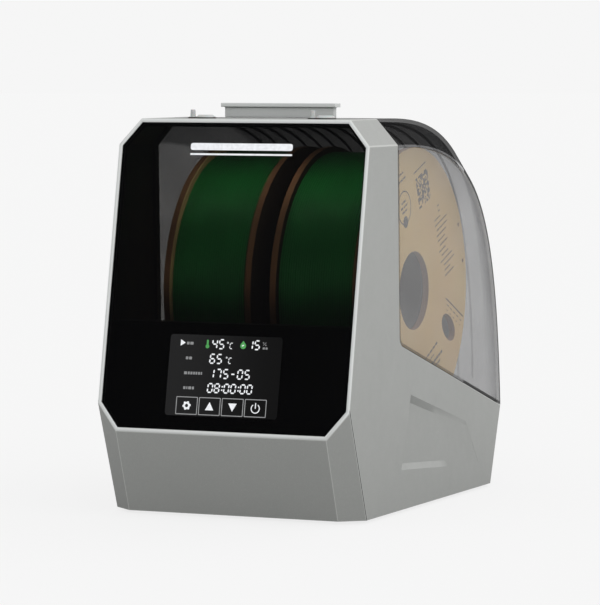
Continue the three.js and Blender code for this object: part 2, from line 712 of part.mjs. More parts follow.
// A three-pin mains inlet; its earth pin stands above the other two.
function makeInlet({ x, s, half, rise }) {
  const edge = 3;
  const flange = plate(rectangle(x - half - edge, x + half + edge, s - rise - edge, s + rise + edge),
    GAP, 2.2);
  const body = plate(rectangle(x - half + GAP, x + half - GAP, s - rise + GAP, s + rise - GAP),
    -19, 1);
  const mouth = plate(rectangle(x - half + 2.3, x + half - 2.3, s - rise + 2.5, s + rise - 2.5),
    -14, 3);
  const prongs = [-6, 0, 6].map((shift) => {
    const low = s + (shift === 0 ? 2 : -3);
    return plate(rectangle(x + shift - 1, x + shift + 1, low - 2, low + 2), -16, -4.5);
  });
  return join(cut(join(flange, body), mouth), ...prongs);
}
piece('power_inlet', makeInlet(INLET), FINISH.black, rearGroup);

function makeSwitchHousing({ x, s, half, rise }) {
  const edge = 1.8;
  const flange = plate(rectangle(x - half - edge, x + half + edge, s - rise - edge, s + rise + edge),
    GAP, 2);
  const body = plate(rectangle(x - half + GAP, x + half - GAP, s - rise + GAP, s + rise - GAP),
    -14, 1);
  const well = plate(rectangle(x - half + 1.5, x + half - 1.5, s - rise + 1.5, s + rise - 1.5),
    -10, 3);
  return cut(join(flange, body), well);
}
piece('switch_housing', makeSwitchHousing(SWITCH), FINISH.black, rearGroup);

// The rocker turns about a line along X; its outer face is a shallow V, half pressed in.
function makeRocker({ x, s, half, rise }) {
  const tilt = THREE.MathUtils.degToRad(8);
  const reach = rise - 2.1;
  const profile = outlineOf([[-reach, -1], [-2.4, -5.4], [2.4, -5.4], [reach, -1], [reach, 1.6],
    [0, 0.4], [-reach, 1.6]]);
  const rocker = prismX(profile, -(half - 1.9), half - 1.9);
  const place = new THREE.Matrix4().setPosition(x, s, 0);
  const toFrame = new THREE.Matrix4().makeRotationX(tilt);
  return rocker.transform(place.multiply(toFrame).elements);
}
piece('power_rocker', makeRocker(SWITCH), FINISH.rubber, rearGroup);

// ---------------------------------------------------------------- lid

const WINDOW_RIM = 1.6;
const lidShell = shell.intersect(prismX(lidRegion(), -BEYOND, BEYOND));

// A flat side window follows the side outline and the rim of the lid.
function windowSolid(side, margin, inner, outer) {
  const [x0, x1] = [inner * side, outer * side].sort((a, b) => a - b);
  const slab = prismX(inset(SIDE_OUTLINE, margin), x0, x1);
  return slab.intersect(prismX(inset(lidRegion(), margin), x0, x1));
}

piece('lid_dome', cut(lidShell, ...[-1, 1].map((side) => windowSolid(side, WINDOW_RIM, 88, 94))),
  FINISH.smoke);
for (const [name, side] of [['left', -1], ['right', 1]]) {
  piece(`lid_window_${name}`, windowSolid(side, WINDOW_RIM + GAP, HALF_WIDTH - 2.4, HALF_WIDTH),
    FINISH.milk);
}

// A pull handle of T section along the front edge of the lid.
function makeLidHandle() {
  const front = 94.5;
  const stem = prismX(rectangle(front + 2.5, front + 7.3, TOP_Z + GAP, TOP_Z + 8), -41, 41);
  const lip = prismX(rectangle(front, front + 9.8, TOP_Z + 7.4, TOP_Z + 10.2), -43, 43);
  return join(stem, lip);
}
piece('lid_handle', makeLidHandle(), FINISH.grey);

// The seal is a lip just inside the walls that bridges the line between collar, rim and lid.
function makeSeal() {
  const lip = cut(hollow(WALL + GAP, FRONT_WALL + GAP), hollow(WALL + 2.1, FRONT_WALL + 2.1));
  const band = cut(
    prismX(inset(lidRegion(), -4), -BEYOND, BEYOND),
    prismX(inset(lidRegion(), 1.4), -BEYOND, BEYOND),
  );
  return lip.intersect(band).intersect(block(-BEYOND, BEYOND, 60, 320, FLOOR_Z + 6, 290));
}
piece('lid_seal', makeSeal(), FINISH.rubber);

// ---------------------------------------------------------------- hinges

// A length of hinge barrel with a bore for the pin.
function barrel(x0, x1) {
  return cut(
    bar([x0, HINGE.y, HINGE.z], [x1, HINGE.y, HINGE.z], HINGE.radius, 20),
    bar([x0 - 1, HINGE.y, HINGE.z], [x1 + 1, HINGE.y, HINGE.z], HINGE.bore, 16),
  );
}

function makeLidLeaf(x) {
  const knuckle = 5;
  const clear = bar([x - 20, HINGE.y, HINGE.z], [x + 20, HINGE.y, HINGE.z], HINGE.bore, 16);
  const leaf = block(x - HINGE.half, x + HINGE.half, REAR_Y + GAP, REAR_Y + 1.9, 59.4, 71);
  const web = block(x - knuckle, x + knuckle, REAR_Y + GAP, REAR_Y + 2.4, HINGE.z + 1.4, 60);
  return join(barrel(x - knuckle, x + knuckle), cut(join(leaf, web), clear));
}

function makeHousingLeaf(x) {
  const knuckle = 5.3;
  const along = (y, z) => new THREE.Vector3(0, y, z).applyMatrix4(REAR_SLOPE.clone().invert());
  const centre = along(HINGE.y, HINGE.z);
  const leaf = plate(rectangle(-x - HINGE.half, -x + HINGE.half, 44, centre.y - HINGE.radius - 0.5),
    GAP, 1.9, REAR_SLOPE);
  const parts = [-1, 1].flatMap((end) => {
    const [x0, x1] = [x + end * knuckle, x + end * HINGE.half].sort((a, b) => a - b);
    const web = plate(rectangle(-x1, -x0, centre.y - HINGE.radius - 1, centre.y), GAP + 0.1, 2.4,
      REAR_SLOPE);
    const clear = bar([x - 20, HINGE.y, HINGE.z], [x + 20, HINGE.y, HINGE.z], HINGE.bore, 16);
    return [cut(web, clear), barrel(x0, x1)];
  });
  return join(leaf, ...parts);
}

for (const [name, side] of [['left', -1], ['right', 1]]) {
  const x = HINGE.x * side;
  piece(`hinge_leaf_lid_${name}`, makeLidLeaf(x), FINISH.steel);
  piece(`hinge_leaf_housing_${name}`, makeHousingLeaf(x), FINISH.steel);
  piece(`hinge_pin_${name}`,
    bar([x - HINGE.half, HINGE.y, HINGE.z], [x + HINGE.half, HINGE.y, HINGE.z], HINGE.pin, 16),
    FINISH.steel);
}

// ---------------------------------------------------------------- outlets

function makeGrommet(x) {
  const low = TOP_Z + GAP;
  const disc = join(
    bar([x, OUTLET_Y, low], [x, OUTLET_Y, low + 0.9], 6.5, 24),
    bar([x, OUTLET_Y, low + 0.9], [x, OUTLET_Y, low + 2.1], 6.5, 24, 4.6),
  );
  const neck = bar([x, OUTLET_Y, TOP_Z - 4], [x, OUTLET_Y, low + 0.5], 4.2, 20);
  const notch = block(x - 6.8, x - 4.1, OUTLET_Y - 1.7, OUTLET_Y + 1.7, low - 0.1, low + 3);
  const bore = bar([x, OUTLET_Y, TOP_Z - 5], [x, OUTLET_Y, TOP_Z + 5], OUTLET_BORE, 20);
  return cut(join(disc, neck), notch, bore);
}

// The parked stopper points its stem up; a strap ties it to the grommet it closes.
function makeStopper(x) {
  const at = x - STOPPER_OFFSET;
  const fold = x - STOPPER_OFFSET / 2;
  const low = TOP_Z + GAP;
  const flange = bar([at, OUTLET_Y, low], [at, OUTLET_Y, low + 0.8], 2.9, 20);
  const stem = bar([at, OUTLET_Y, low + 0.6], [at, OUTLET_Y, low + 5.6], 1.9, 20, 1.6);
  const [near, far] = [OUTLET_Y - 1.3, OUTLET_Y + 1.3];
  const strap = block(at, fold + 0.2, near, far, low, low + 0.8);
  const link = block(fold - 0.5, fold + 0.2, near, far, low, STOPPER_AXIS_Z);
  const roll = bar([fold, near, STOPPER_AXIS_Z], [fold, far, STOPPER_AXIS_Z], 0.5, 12);
  return join(flange, stem, strap, link, roll);
}

for (const [name, x] of Object.entries(OUTLETS)) {
  piece(`outlet_grommet_${name}`, makeGrommet(x), FINISH.silicone);
  piece(`outlet_stopper_${name}`, makeStopper(x), FINISH.silicone);
}

const dryer = new THREE.Group();
dryer.add(assembly);

export default dryer;
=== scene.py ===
import json
import math
import random

import bmesh
import bpy
from mathutils import Matrix, Vector, noise
from mathutils.bvhtree import BVHTree

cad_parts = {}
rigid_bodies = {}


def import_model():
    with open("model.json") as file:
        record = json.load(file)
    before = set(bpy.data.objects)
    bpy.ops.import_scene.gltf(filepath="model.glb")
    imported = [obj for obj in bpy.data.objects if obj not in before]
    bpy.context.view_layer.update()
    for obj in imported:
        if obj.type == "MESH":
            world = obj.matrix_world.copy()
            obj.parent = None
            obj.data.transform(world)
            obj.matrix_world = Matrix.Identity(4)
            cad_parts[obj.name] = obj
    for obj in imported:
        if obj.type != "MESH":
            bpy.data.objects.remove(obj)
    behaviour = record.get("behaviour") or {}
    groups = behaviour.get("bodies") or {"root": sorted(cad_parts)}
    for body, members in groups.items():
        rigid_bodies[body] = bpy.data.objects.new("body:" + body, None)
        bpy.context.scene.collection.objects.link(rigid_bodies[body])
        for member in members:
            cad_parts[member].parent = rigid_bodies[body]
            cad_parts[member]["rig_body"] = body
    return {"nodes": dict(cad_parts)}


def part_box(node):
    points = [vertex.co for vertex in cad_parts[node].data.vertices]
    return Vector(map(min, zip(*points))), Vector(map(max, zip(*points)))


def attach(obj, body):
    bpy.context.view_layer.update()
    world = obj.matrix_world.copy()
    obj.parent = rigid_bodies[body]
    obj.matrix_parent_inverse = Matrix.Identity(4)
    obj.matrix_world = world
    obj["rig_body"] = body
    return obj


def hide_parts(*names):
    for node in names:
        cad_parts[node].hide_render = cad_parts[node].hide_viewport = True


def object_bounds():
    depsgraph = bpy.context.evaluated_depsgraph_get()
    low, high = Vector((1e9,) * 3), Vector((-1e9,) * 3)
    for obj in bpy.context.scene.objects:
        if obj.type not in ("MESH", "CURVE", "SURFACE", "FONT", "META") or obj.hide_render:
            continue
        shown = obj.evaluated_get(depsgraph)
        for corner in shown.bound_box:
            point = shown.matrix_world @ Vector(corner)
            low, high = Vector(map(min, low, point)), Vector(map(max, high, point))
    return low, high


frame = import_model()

CAD_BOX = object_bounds()
MM = 0.001
SCENE = bpy.context.scene
SIDES = ("left", "right")
ENDS = ("front", "rear")


# ---------------------------------------------------------------- shader nodes

def add(tree, kind, inputs=(), **settings):
    """A shader node with its inputs set to values or linked to sockets."""
    node = tree.nodes.new("ShaderNode" + kind)
    for key, value in settings.items():
        setattr(node, key, value)
    for key, value in dict(inputs).items():
        if isinstance(value, bpy.types.NodeSocket):
            tree.links.new(value, node.inputs[key])
        else:
            node.inputs[key].default_value = value
    return node


def math_node(tree, operation, *values, clamp=False):
    return add(tree, "Math", dict(enumerate(values)), operation=operation, use_clamp=clamp).outputs[0]


def between(tree, value, low, high, start=0.3, end=0.7, smooth=False):
    """Goes from low to high while a value goes from start to end."""
    return add(tree, "MapRange", {"Value": value, "From Min": start, "From Max": end,
                                  "To Min": low, "To Max": high},
               interpolation_type="SMOOTHSTEP" if smooth else "LINEAR").outputs[0]


def for_camera(tree, unseen, seen):
    """One level for the rays that light the object and another for those of the camera."""
    by_camera = add(tree, "LightPath").outputs["Is Camera Ray"]
    return add(tree, "Mix", {0: by_camera, 2: unseen, 3: seen}, data_type="FLOAT").outputs[0]


def coordinate(tree, axis):
    """One of an object's own coordinates, in metres."""
    return add(tree, "SeparateXYZ", {0: add(tree, "TexCoord").outputs["Object"]}).outputs[axis]


# ---------------------------------------------------------------- camera and studio

AIM = (9.3, -40.9, 1.2)  # from the middle of the CAD box to the point looked at
AZIMUTH, ELEVATION = 23.79, 3.87  # degrees
DISTANCE = 2.491  # metres
LENS, SENSOR = 214.3, 36

KEY_SIDE = Vector((0.80, 0.05, 0.60)).normalized()  # where the surroundings are brightest
SURROUND = (0.30, 1.25)  # their brightness away from that side and on it
BACKDROP = 0.921  # what the camera sees in their place
FLOOR_GLOW = (0.28, 0.66)  # the floor's own light near the object and far from it
FLOOR_NEAR_FAR = (0.14, 0.55)  # metres from the object's middle
FLOOR_SEEN = 0.806  # what the camera sees in its place
FLOOR_RADIUS = 30  # metres


def make_camera():
    centre = (CAD_BOX[0] + CAD_BOX[1]) / 2
    target = centre + Vector(AIM) * MM
    azimuth, elevation = math.radians(AZIMUTH), math.radians(ELEVATION)
    back = Vector((
        math.sin(azimuth) * math.cos(elevation),
        -math.cos(azimuth) * math.cos(elevation),
        math.sin(elevation),
    ))
    data = bpy.data.cameras.new("camera")
    data.lens = LENS
    data.sensor_width = SENSOR
    camera = bpy.data.objects.new("camera", data)
    camera.location = target + back * DISTANCE
    camera.rotation_mode = "QUATERNION"
    camera.rotation_quaternion = (-back).to_track_quat("-Z", "Y")
    SCENE.collection.objects.link(camera)
    SCENE.camera = camera


def make_surroundings():
    """Soft light from all around, brightest on one side, before an even backdrop."""
    SCENE.view_settings.view_transform = "Standard"
    world = bpy.data.worlds.new("studio")
    SCENE.world = world
    world.use_nodes = True
    tree = world.node_tree
    shade = tree.nodes["Background"]
    shade.inputs["Color"].default_value = (1, 1, 1, 1)
    direction = add(tree, "TexCoord").outputs["Generated"]
    facing = add(tree, "VectorMath", {0: direction, 1: KEY_SIDE}, operation="DOT_PRODUCT")
    soft = between(tree, facing.outputs["Value"], *SURROUND, -0.75, 0.85, smooth=True)
    tree.links.new(for_camera(tree, soft, BACKDROP), shade.inputs["Strength"])


def make_floor():
    """A pale floor that fades into the backdrop."""
    mesh = bpy.data.meshes.new("floor")
    bm = bmesh.new()
    bmesh.ops.create_circle(bm, cap_ends=True, segments=96, radius=FLOOR_RADIUS)
    bm.to_mesh(mesh)
    bm.free()
    floor = bpy.data.objects.new("floor", mesh)
    floor.location = (0, 0, CAD_BOX[0].z - 0.1 * MM)
    SCENE.collection.objects.link(floor)
    material = bpy.data.materials.new("pale_floor")
    material.use_nodes = True
    tree = material.node_tree
    shade = tree.nodes["Principled BSDF"]
    shade.inputs["Base Color"].default_value = (0.12, 0.12, 0.12, 1)
    shade.inputs["Roughness"].default_value = 0.9
    shade.inputs["Specular IOR Level"].default_value = 0.0
    shade.inputs["Emission Color"].default_value = (1, 1, 1, 1)
    away = add(tree, "VectorMath", {0: add(tree, "TexCoord").outputs["Object"]}, operation="LENGTH")
    glow = between(tree, away.outputs["Value"], *FLOOR_GLOW, *FLOOR_NEAR_FAR)
    tree.links.new(for_camera(tree, glow, FLOOR_SEEN), shade.inputs["Emission Strength"])
    mesh.materials.append(material)


make_camera()
make_surroundings()
make_floor()


# ---------------------------------------------------------------- materials

def surface(name, **values):
    """A material and its Principled shader, with uniform values on the shader's own sockets."""
    material = bpy.data.materials.new(name)
    material.use_nodes = True
    shade = material.node_tree.nodes["Principled BSDF"]
    for key, value in values.items():
        shade.inputs[key.replace("_", " ")].default_value = value
    return material, material.node_tree, shade


def place(tree, scale=(1, 1, 1)):
    """Object coordinates in metres, stretched for grain that runs one way."""
    coordinates = add(tree, "TexCoord").outputs["Object"]
    return add(tree, "Mapping", {"Vector": coordinates, "Scale": scale}).outputs[0]


def cloud(tree, vector, size, detail=2.0, rough=0.5):
    """Noise whose features are about size millimetres across, from 0 to 1."""
    return add(tree, "TexNoise", {"Vector": vector, "Scale": 1 / (size * MM), "Detail": detail,
                                  "Roughness": rough}).outputs[0]


def blend(tree, factor, first, second):
    """Goes from the first colour to the second as the factor goes from 0 to 1."""
    def colour(c):
        return (*c, 1) if isinstance(c, tuple) and len(c) == 3 else c
    return add(tree, "Mix", {0: factor, 6: colour(first), 7: colour(second)},
               data_type="RGBA").outputs[2]


def shaded(colour, by):
    return tuple(min(1.0, c * by) for c in colour)


def relief(tree, shade, height, depth):
    """Bump whose full height is depth millimetres."""
    bump = add(tree, "Bump", {"Height": height, "Distance": depth * MM, "Strength": 1.0})
    tree.links.new(bump.outputs[0], shade.inputs["Normal"])


def moulded(name, colour, roughness, vary, grain, depth, fleck=0.0, **values):
    """Moulded plastic, rubber or paint: broad and fine colour variation, uneven gloss, grain."""
    material, tree, shade = surface(name, **values)
    vector = place(tree)
    broad = cloud(tree, vector, 45, 3)
    fine = cloud(tree, vector, grain, 2)
    tone = blend(tree, between(tree, broad, 0, 1), shaded(colour, 1 - vary), shaded(colour, 1 + vary))
    tone = blend(tree, between(tree, fine, 0, 1, 0.25, 0.75), shaded(colour, 1 - vary * 1.3), tone)
    if fleck:
        spark = between(tree, cloud(tree, vector, grain * 0.6, 0), 0, fleck, 0.62, 0.78)
        tone = blend(tree, spark, tone, shaded(colour, 1.7))
    tree.links.new(tone, shade.inputs["Base Color"])
    gloss = between(tree, cloud(tree, vector, 9, 4, 0.6), roughness * 0.9, roughness * 1.12)
    tree.links.new(gloss, shade.inputs["Roughness"])
    relief(tree, shade, fine, depth)
    return material


def metal(name, colour, roughness, along):
    """Brushed or turned metal with fine scratches."""
    material, tree, shade = surface(name, Metallic=1.0)
    vector = place(tree, along)
    streaks = cloud(tree, vector, 0.5, 4, 0.65)
    tone = blend(tree, between(tree, streaks, 0, 1), shaded(colour, 0.86), shaded(colour, 1.05))
    tree.links.new(tone, shade.inputs["Base Color"])
    tree.links.new(between(tree, streaks, roughness * 0.8, roughness * 1.35), shade.inputs["Roughness"])
    relief(tree, shade, streaks, 0.012)
    return material


SHELL_GREY = (0.338, 0.346, 0.333)
HOUSING = moulded("housing_grey", SHELL_GREY, 0.46, vary=0.03, grain=0.5, depth=0.012, fleck=0.35)
# Painted highlight: the housing grey made lighter, for the faces of its rounded outer edges.
EDGE_HIGHLIGHT = moulded("housing_edge", shaded(SHELL_GREY, 1.5), 0.42, vary=0.03, grain=0.5, depth=0.008,
               fleck=0.2)
INNER = moulded("inner_black", (0.012, 0.012, 0.013), 0.62, vary=0.15, grain=0.5, depth=0.02)
# Painted highlight: a light grey for the bead round the glass.
BEZEL_HIGHLIGHT = moulded("bezel_highlight", (0.72, 0.74, 0.73), 0.3, vary=0.02, grain=0.4, depth=0.004)
HANDLE = moulded("handle_grey", (0.73, 0.75, 0.74), 0.42, vary=0.04, grain=0.4, depth=0.01, fleck=0.2)
BLACK = moulded("black_plastic", (0.017, 0.017, 0.018), 0.5, vary=0.2, grain=0.45, depth=0.03)
TYRE = moulded("roller_rubber", (0.022, 0.022, 0.023), 0.8, vary=0.25, grain=0.7, depth=0.05)
SEAL = moulded("seal_rubber", (0.016, 0.016, 0.017), 0.85, vary=0.2, grain=0.5, depth=0.03)
FOOT = moulded("foot_rubber", (0.03, 0.03, 0.031), 0.9, vary=0.2, grain=0.6, depth=0.05)
SILICONE = moulded("silicone", (0.56, 0.58, 0.57), 0.4, vary=0.05, grain=0.8, depth=0.01,
                   Subsurface_Weight=0.15, Subsurface_Scale=0.002)
STEEL = metal("steel", (0.56, 0.57, 0.58), 0.3, along=(0.25, 1, 1))
ALUMINIUM = metal("aluminium", (0.68, 0.69, 0.70), 0.38, along=(1, 0.2, 1))


def make_board():
    """Green solder mask over tracks, with lighter pads."""
    material, tree, shade = surface("circuit_board", Roughness=0.38)
    vector = place(tree)
    cells = add(tree, "TexVoronoi", {"Vector": vector, "Scale": 420.0}, feature="F1",
                distance="MANHATTAN").outputs["Distance"]
    tracks = between(tree, cells, 1, 0, 0.30, 0.36)
    tone = blend(tree, tracks, (0.008, 0.055, 0.022), (0.016, 0.115, 0.05))
    pads = between(tree, cloud(tree, vector, 1.4, 0), 0, 1, 0.68, 0.70)
    tone = blend(tree, pads, tone, (0.55, 0.52, 0.42))
    tree.links.new(tone, shade.inputs["Base Color"])
    relief(tree, shade, tracks, 0.04)
    return material


PLY = 0.62  # thickness of a ply in the card's edge


def make_cardboard(name, low, high, edge=False):
    """Kraft board: pressed fibres, flecks and soft mottling; an edge shows its plies."""
    material, tree, shade = surface(name, Roughness=0.86, Specular_IOR_Level=0.25)
    vector = place(tree)
    fibres = cloud(tree, place(tree, (1, 0.25, 1)), 0.5, 5, 0.7)
    mottle = cloud(tree, vector, 14, 3)
    tone = blend(tree, between(tree, fibres, 0, 1), low, high)
    tone = blend(tree, between(tree, mottle, 0, 0.35), tone, shaded(low, 0.9))
    patches = between(tree, cloud(tree, vector, 55, 1), 0, 0.5)
    tone = blend(tree, patches, tone, (high[0] * 0.93, high[1] * 1.04, high[2] * 0.9))
    flecks = between(tree, cloud(tree, vector, 0.7, 0), 0, 0.6, 0.70, 0.78)
    tone = blend(tree, flecks, tone, shaded(low, 0.45))
    height, depth = fibres, 0.05
    if edge:
        plies = add(tree, "TexWave", {"Vector": vector, "Scale": 1 / (PLY * MM) / math.tau,
                                      "Distortion": 1.4, "Detail": 3.0, "Detail Scale": 0.2},
                    bands_direction="X").outputs[1]
        tone = blend(tree, between(tree, plies, 0.0, 0.45, 0.1, 0.9), tone, shaded(low, 0.5))
        height, depth = plies, 0.12
    tree.links.new(tone, shade.inputs["Base Color"])
    relief(tree, shade, height, depth)
    return material


BOARD = make_board()
CARD = make_cardboard("cardboard_face", (0.505, 0.335, 0.138), (0.66, 0.455, 0.195))
CARD_EDGE = make_cardboard("cardboard_edge", (0.22, 0.10, 0.042), (0.30, 0.145, 0.062), edge=True)
# Painted shade: a dark board for the inner flanges, which face each other across a narrow gap.
CARD_SHADE = make_cardboard("cardboard_shade", (0.030, 0.018, 0.010), (0.045, 0.028, 0.015))
CORE = make_cardboard("core_board", (0.030, 0.026, 0.021), (0.048, 0.042, 0.034))
CARD_PRINT = moulded("card_print", (0.06, 0.046, 0.035), 0.8, vary=0.3, grain=0.5, depth=0.01)


TURNS = 32  # strands side by side across a winding


def make_filament():
    """Green extruded plastic, with painted shade between the strands."""
    material, tree, shade = surface("filament_green", Specular_IOR_Level=0.12)
    low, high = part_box("spool_right_winding")
    reach = math_node(tree, "SUBTRACT", math_node(tree, "ABSOLUTE", coordinate(tree, 0)), low.x)
    turn = math_node(tree, "FRACT", math_node(tree, "DIVIDE", reach, (high.x - low.x) / TURNS))
    aside = math_node(tree, "ABSOLUTE", math_node(tree, "SUBTRACT", turn, 0.5))
    # Painted shade: near black towards the valleys between the strands.
    valley_shade = between(tree, aside, 0, 0.98, 0.12, 0.34)
    strands = cloud(tree, place(tree, (1, 0.04, 0.04)), 1.1, 1)
    drift = cloud(tree, place(tree), 30, 2)
    tone = blend(tree, between(tree, strands, 0, 1), (0.022, 0.30, 0.052), (0.038, 0.42, 0.08))
    tone = blend(tree, between(tree, drift, 0, 0.25), tone, (0.016, 0.22, 0.042))
    tone = blend(tree, valley_shade, tone, (0.001, 0.007, 0.0025))
    tree.links.new(tone, shade.inputs["Base Color"])
    tree.links.new(between(tree, strands, 0.36, 0.5), shade.inputs["Roughness"])
    relief(tree, shade, cloud(tree, place(tree, (1, 0.1, 0.1)), 0.25, 2), 0.01)
    return material


def make_tinted(name, colour, roughness, alpha, specular, slanted, depth=0.0):
    """See-through plastic or glass, more opaque by slanted where it is seen at a low angle."""
    material, tree, shade = surface(name, Specular_IOR_Level=specular)
    vector = place(tree)
    wave = cloud(tree, vector, 24, 2)
    tone = blend(tree, between(tree, wave, 0, 1), shaded(colour, 0.94), shaded(colour, 1.06))
    tree.links.new(tone, shade.inputs["Base Color"])
    marks = cloud(tree, vector, 3, 4, 0.65)
    tree.links.new(between(tree, marks, roughness * 0.85, roughness * 1.2), shade.inputs["Roughness"])
    slant = add(tree, "LayerWeight", {"Blend": 0.5}).outputs["Facing"]
    steep = math_node(tree, "POWER", slant, 3.0)
    body = alpha(tree) if callable(alpha) else between(tree, wave, alpha * 0.97, alpha * 1.03)
    opacity = math_node(tree, "MULTIPLY_ADD", steep, slanted, body, clamp=True)
    tree.links.new(opacity, shade.inputs["Alpha"])
    if depth:
        relief(tree, shade, wave, depth)
    return material


def tint_by_height(start, end, thin, deep):
    """The dome's tint: thin below a share of its height, and deep above another."""
    def opacity(tree):
        low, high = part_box("lid_dome")
        rise = high.z - low.z
        return between(tree, coordinate(tree, 2), thin, deep, low.z + start * rise,
                       low.z + end * rise, smooth=True)

    return opacity


FILAMENT = make_filament()
GLASS = make_tinted("tinted_glass", (0.0015, 0.0015, 0.0018), 0.04, 0.70, specular=0.05, slanted=0.1)
SMOKE = make_tinted("smoked_lid", (0.014, 0.014, 0.0145), 0.2, tint_by_height(0.62, 0.90, 0.43, 0.57),
                    specular=0.015, slanted=0.2, depth=0.015)
CORNER = make_tinted("smoked_corner", (0.016, 0.016, 0.0165), 0.3,
                     tint_by_height(0.70, 0.88, 0.35, 0.41), specular=0.0, slanted=0.45, depth=0.015)
RIB = make_tinted("smoked_rib", (0.008, 0.008, 0.0085), 0.3, tint_by_height(0.55, 0.86, 0.20, 0.90),
                  specular=0.05, slanted=0.1, depth=0.01)
RIM = make_tinted("smoked_rim", (0.008, 0.008, 0.0085), 0.3, 0.9, specular=0.1, slanted=0.1, depth=0.01)
MILK = make_tinted("milky_window", (0.52, 0.52, 0.53), 0.3, 0.18, specular=0.3, slanted=0.1, depth=0.02)


def lit(name, colour, strength):
    """Light seen through the display's face, a little uneven across each mark."""
    material, tree, shade = surface(name, Roughness=0.4, Base_Color=(0.02, 0.02, 0.02, 1))
    uneven = cloud(tree, place(tree), 2.5, 1)
    tone = blend(tree, between(tree, uneven, 0, 1), shaded(colour, 0.86), colour)
    tree.links.new(tone, shade.inputs["Emission Color"])
    shade.inputs["Emission Strength"].default_value = strength
    return material


INK = moulded("black_ink", (0.0016, 0.0016, 0.0017), 0.35, vary=0.1, grain=0.6, depth=0.0004,
              Specular_IOR_Level=0.05)
LIT_WHITE = lit("lit_white", (0.95, 0.97, 1.0), 0.92)
LIT_GREEN = lit("lit_green", (0.10, 0.62, 0.13), 0.55)
LIT_DIM = lit("lit_dim", (0.55, 0.56, 0.57), 0.42)
LIT_LINE = lit("lit_line", (0.62, 0.63, 0.64), 0.5)


def make_display_face():
    """The display's own window: a shade lighter than the ink, most at its left edge."""
    material, tree, shade = surface("display_face", Roughness=0.28, Specular_IOR_Level=0.12)
    low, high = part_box("display_module")
    fade = between(tree, coordinate(tree, 0), 0.55, 0.0, low.x, high.x, smooth=True)
    grain = between(tree, cloud(tree, place(tree), 0.7, 2), 0.85, 1.1)
    fade = math_node(tree, "MULTIPLY", fade, grain, clamp=True)
    tone = blend(tree, fade, (0.003, 0.003, 0.0032), (0.030, 0.030, 0.031))
    tree.links.new(tone, shade.inputs["Base Color"])
    return material


DISPLAY = make_display_face()

FINISH_OF_SLOT = {
    "housing": HOUSING, "glass_panel": GLASS, "display": INK, "board": BOARD,
    "black_plastic": BLACK, "foot_rubber": FOOT, "roller_rubber": TYRE, "seal_rubber": SEAL,
    "steel": STEEL, "aluminium": ALUMINIUM, "cardboard": CARD, "filament": FILAMENT,
    "silicone": SILICONE, "lid_smoke": SMOKE, "lid_milk": MILK, "handle_grey": HANDLE,
}


# ---------------------------------------------------------------- piece building

FLAT_ENOUGH = 0.5  # faces that turn by fewer degrees are made one
SMOOTH_TURN = 32  # edges that turn by more degrees stay sharp


def body_of(node):
    return frame["nodes"][node]["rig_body"]


def slot_of(node):
    return frame["nodes"][node].material_slots[0].name.split(".")[0]


def finish_piece(name, bm, materials, body, nodes=(), smooth=SMOOTH_TURN, weighted=True):
    """Turns a bmesh into a named piece that rides on a body and stands for CAD nodes."""
    mesh = bpy.data.meshes.new(name)
    bm.normal_update()
    bm.to_mesh(mesh)
    bm.free()
    for material in materials:
        mesh.materials.append(material)
    mesh.shade_smooth()
    mesh.set_sharp_from_angle(angle=math.radians(smooth))
    piece = bpy.data.objects.new(name, mesh)
    SCENE.collection.objects.link(piece)
    if weighted:
        modifier = piece.modifiers.new("normals", "WEIGHTED_NORMAL")
        modifier.keep_sharp = True
        modifier.weight = 80
    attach(piece, body)
    if nodes:
        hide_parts(*nodes)


def cad_mesh(node):
    """A CAD node's mesh with its flat faces made whole."""
    bm = bmesh.new()
    bm.from_mesh(frame["nodes"][node].data)
    bmesh.ops.remove_doubles(bm, verts=bm.verts, dist=0.002 * MM)
    bmesh.ops.dissolve_limit(bm, angle_limit=math.radians(FLAT_ENOUGH), verts=bm.verts, edges=bm.edges)
    bm.normal_update()
    return bm


def cad_tree(node):
    """A search tree over a CAD node's surface."""
    mesh = frame["nodes"][node].data
    return BVHTree.FromPolygons([v.co for v in mesh.vertices], [p.vertices for p in mesh.polygons])


def has_room(edge, width):
    """True if the faces on both sides of an edge are large enough for its rounding."""
    for loop in edge.link_loops:
        for first, second in ((loop.link_loop_prev, loop), (loop, loop.link_loop_next)):
            ahead = first.link_loop_next.vert.co - first.vert.co
            onward = second.link_loop_next.vert.co - second.vert.co
            turn = min(ahead.angle(onward, 0), math.radians(150))
            other = first if second is loop else second
            if other.edge.calc_length() < 2.2 * width * MM * math.tan(turn / 2):
                return False
    return True


def round_edges(bm, width, shortest, segments, angle, wanted=None):
    """Rounds the edges that turn by more than angle degrees and have room; tags the new faces."""
    edges = [
        e for e in bm.edges
        if len(e.link_faces) == 2 and e.calc_length() > shortest * MM
        and e.calc_face_angle(0) > math.radians(angle) and has_room(e, width)
        and (wanted is None or wanted(e))
    ]
    if edges:
        made = bmesh.ops.bevel(bm, geom=edges, offset=width * MM, offset_type="OFFSET",
                               segments=segments, profile=0.5, affect="EDGES", clamp_overlap=False,
                               loop_slide=True)
        for face in made["faces"]:
            face.tag = True


def refined(node, width, shortest=0.5, segments=2, angle=28, materials=None, paint=None,
            smooth=SMOOTH_TURN, wanted=None):
    """A CAD node's own shape with rounded edges, as a new piece that stands for it."""
    bm = cad_mesh(node)
    if width:
        round_edges(bm, width, shortest, segments, angle, wanted)
    if paint:
        bm.normal_update()
        for face in bm.faces:
            face.material_index = paint(face)
    slot = slot_of(node)
    finish_piece(node + "_piece", bm, materials or [FINISH_OF_SLOT[slot]], body_of(node),
                 [node], smooth)


def corners(bm, outline, height, matrix):
    """New corners over an outline, at a height, in the frame of a matrix."""
    return [bm.verts.new(matrix @ Vector((p[0] * MM, p[1] * MM, height * MM))) for p in outline]


def bridge(bm, first, second):
    """Joins two closed rows of corners, one face for each step; returns the faces."""
    count = len(first)
    return [bm.faces.new((first[k], first[(k + 1) % count], second[(k + 1) % count], second[k]))
            for k in range(count)]


# ---------------------------------------------------------------- housing

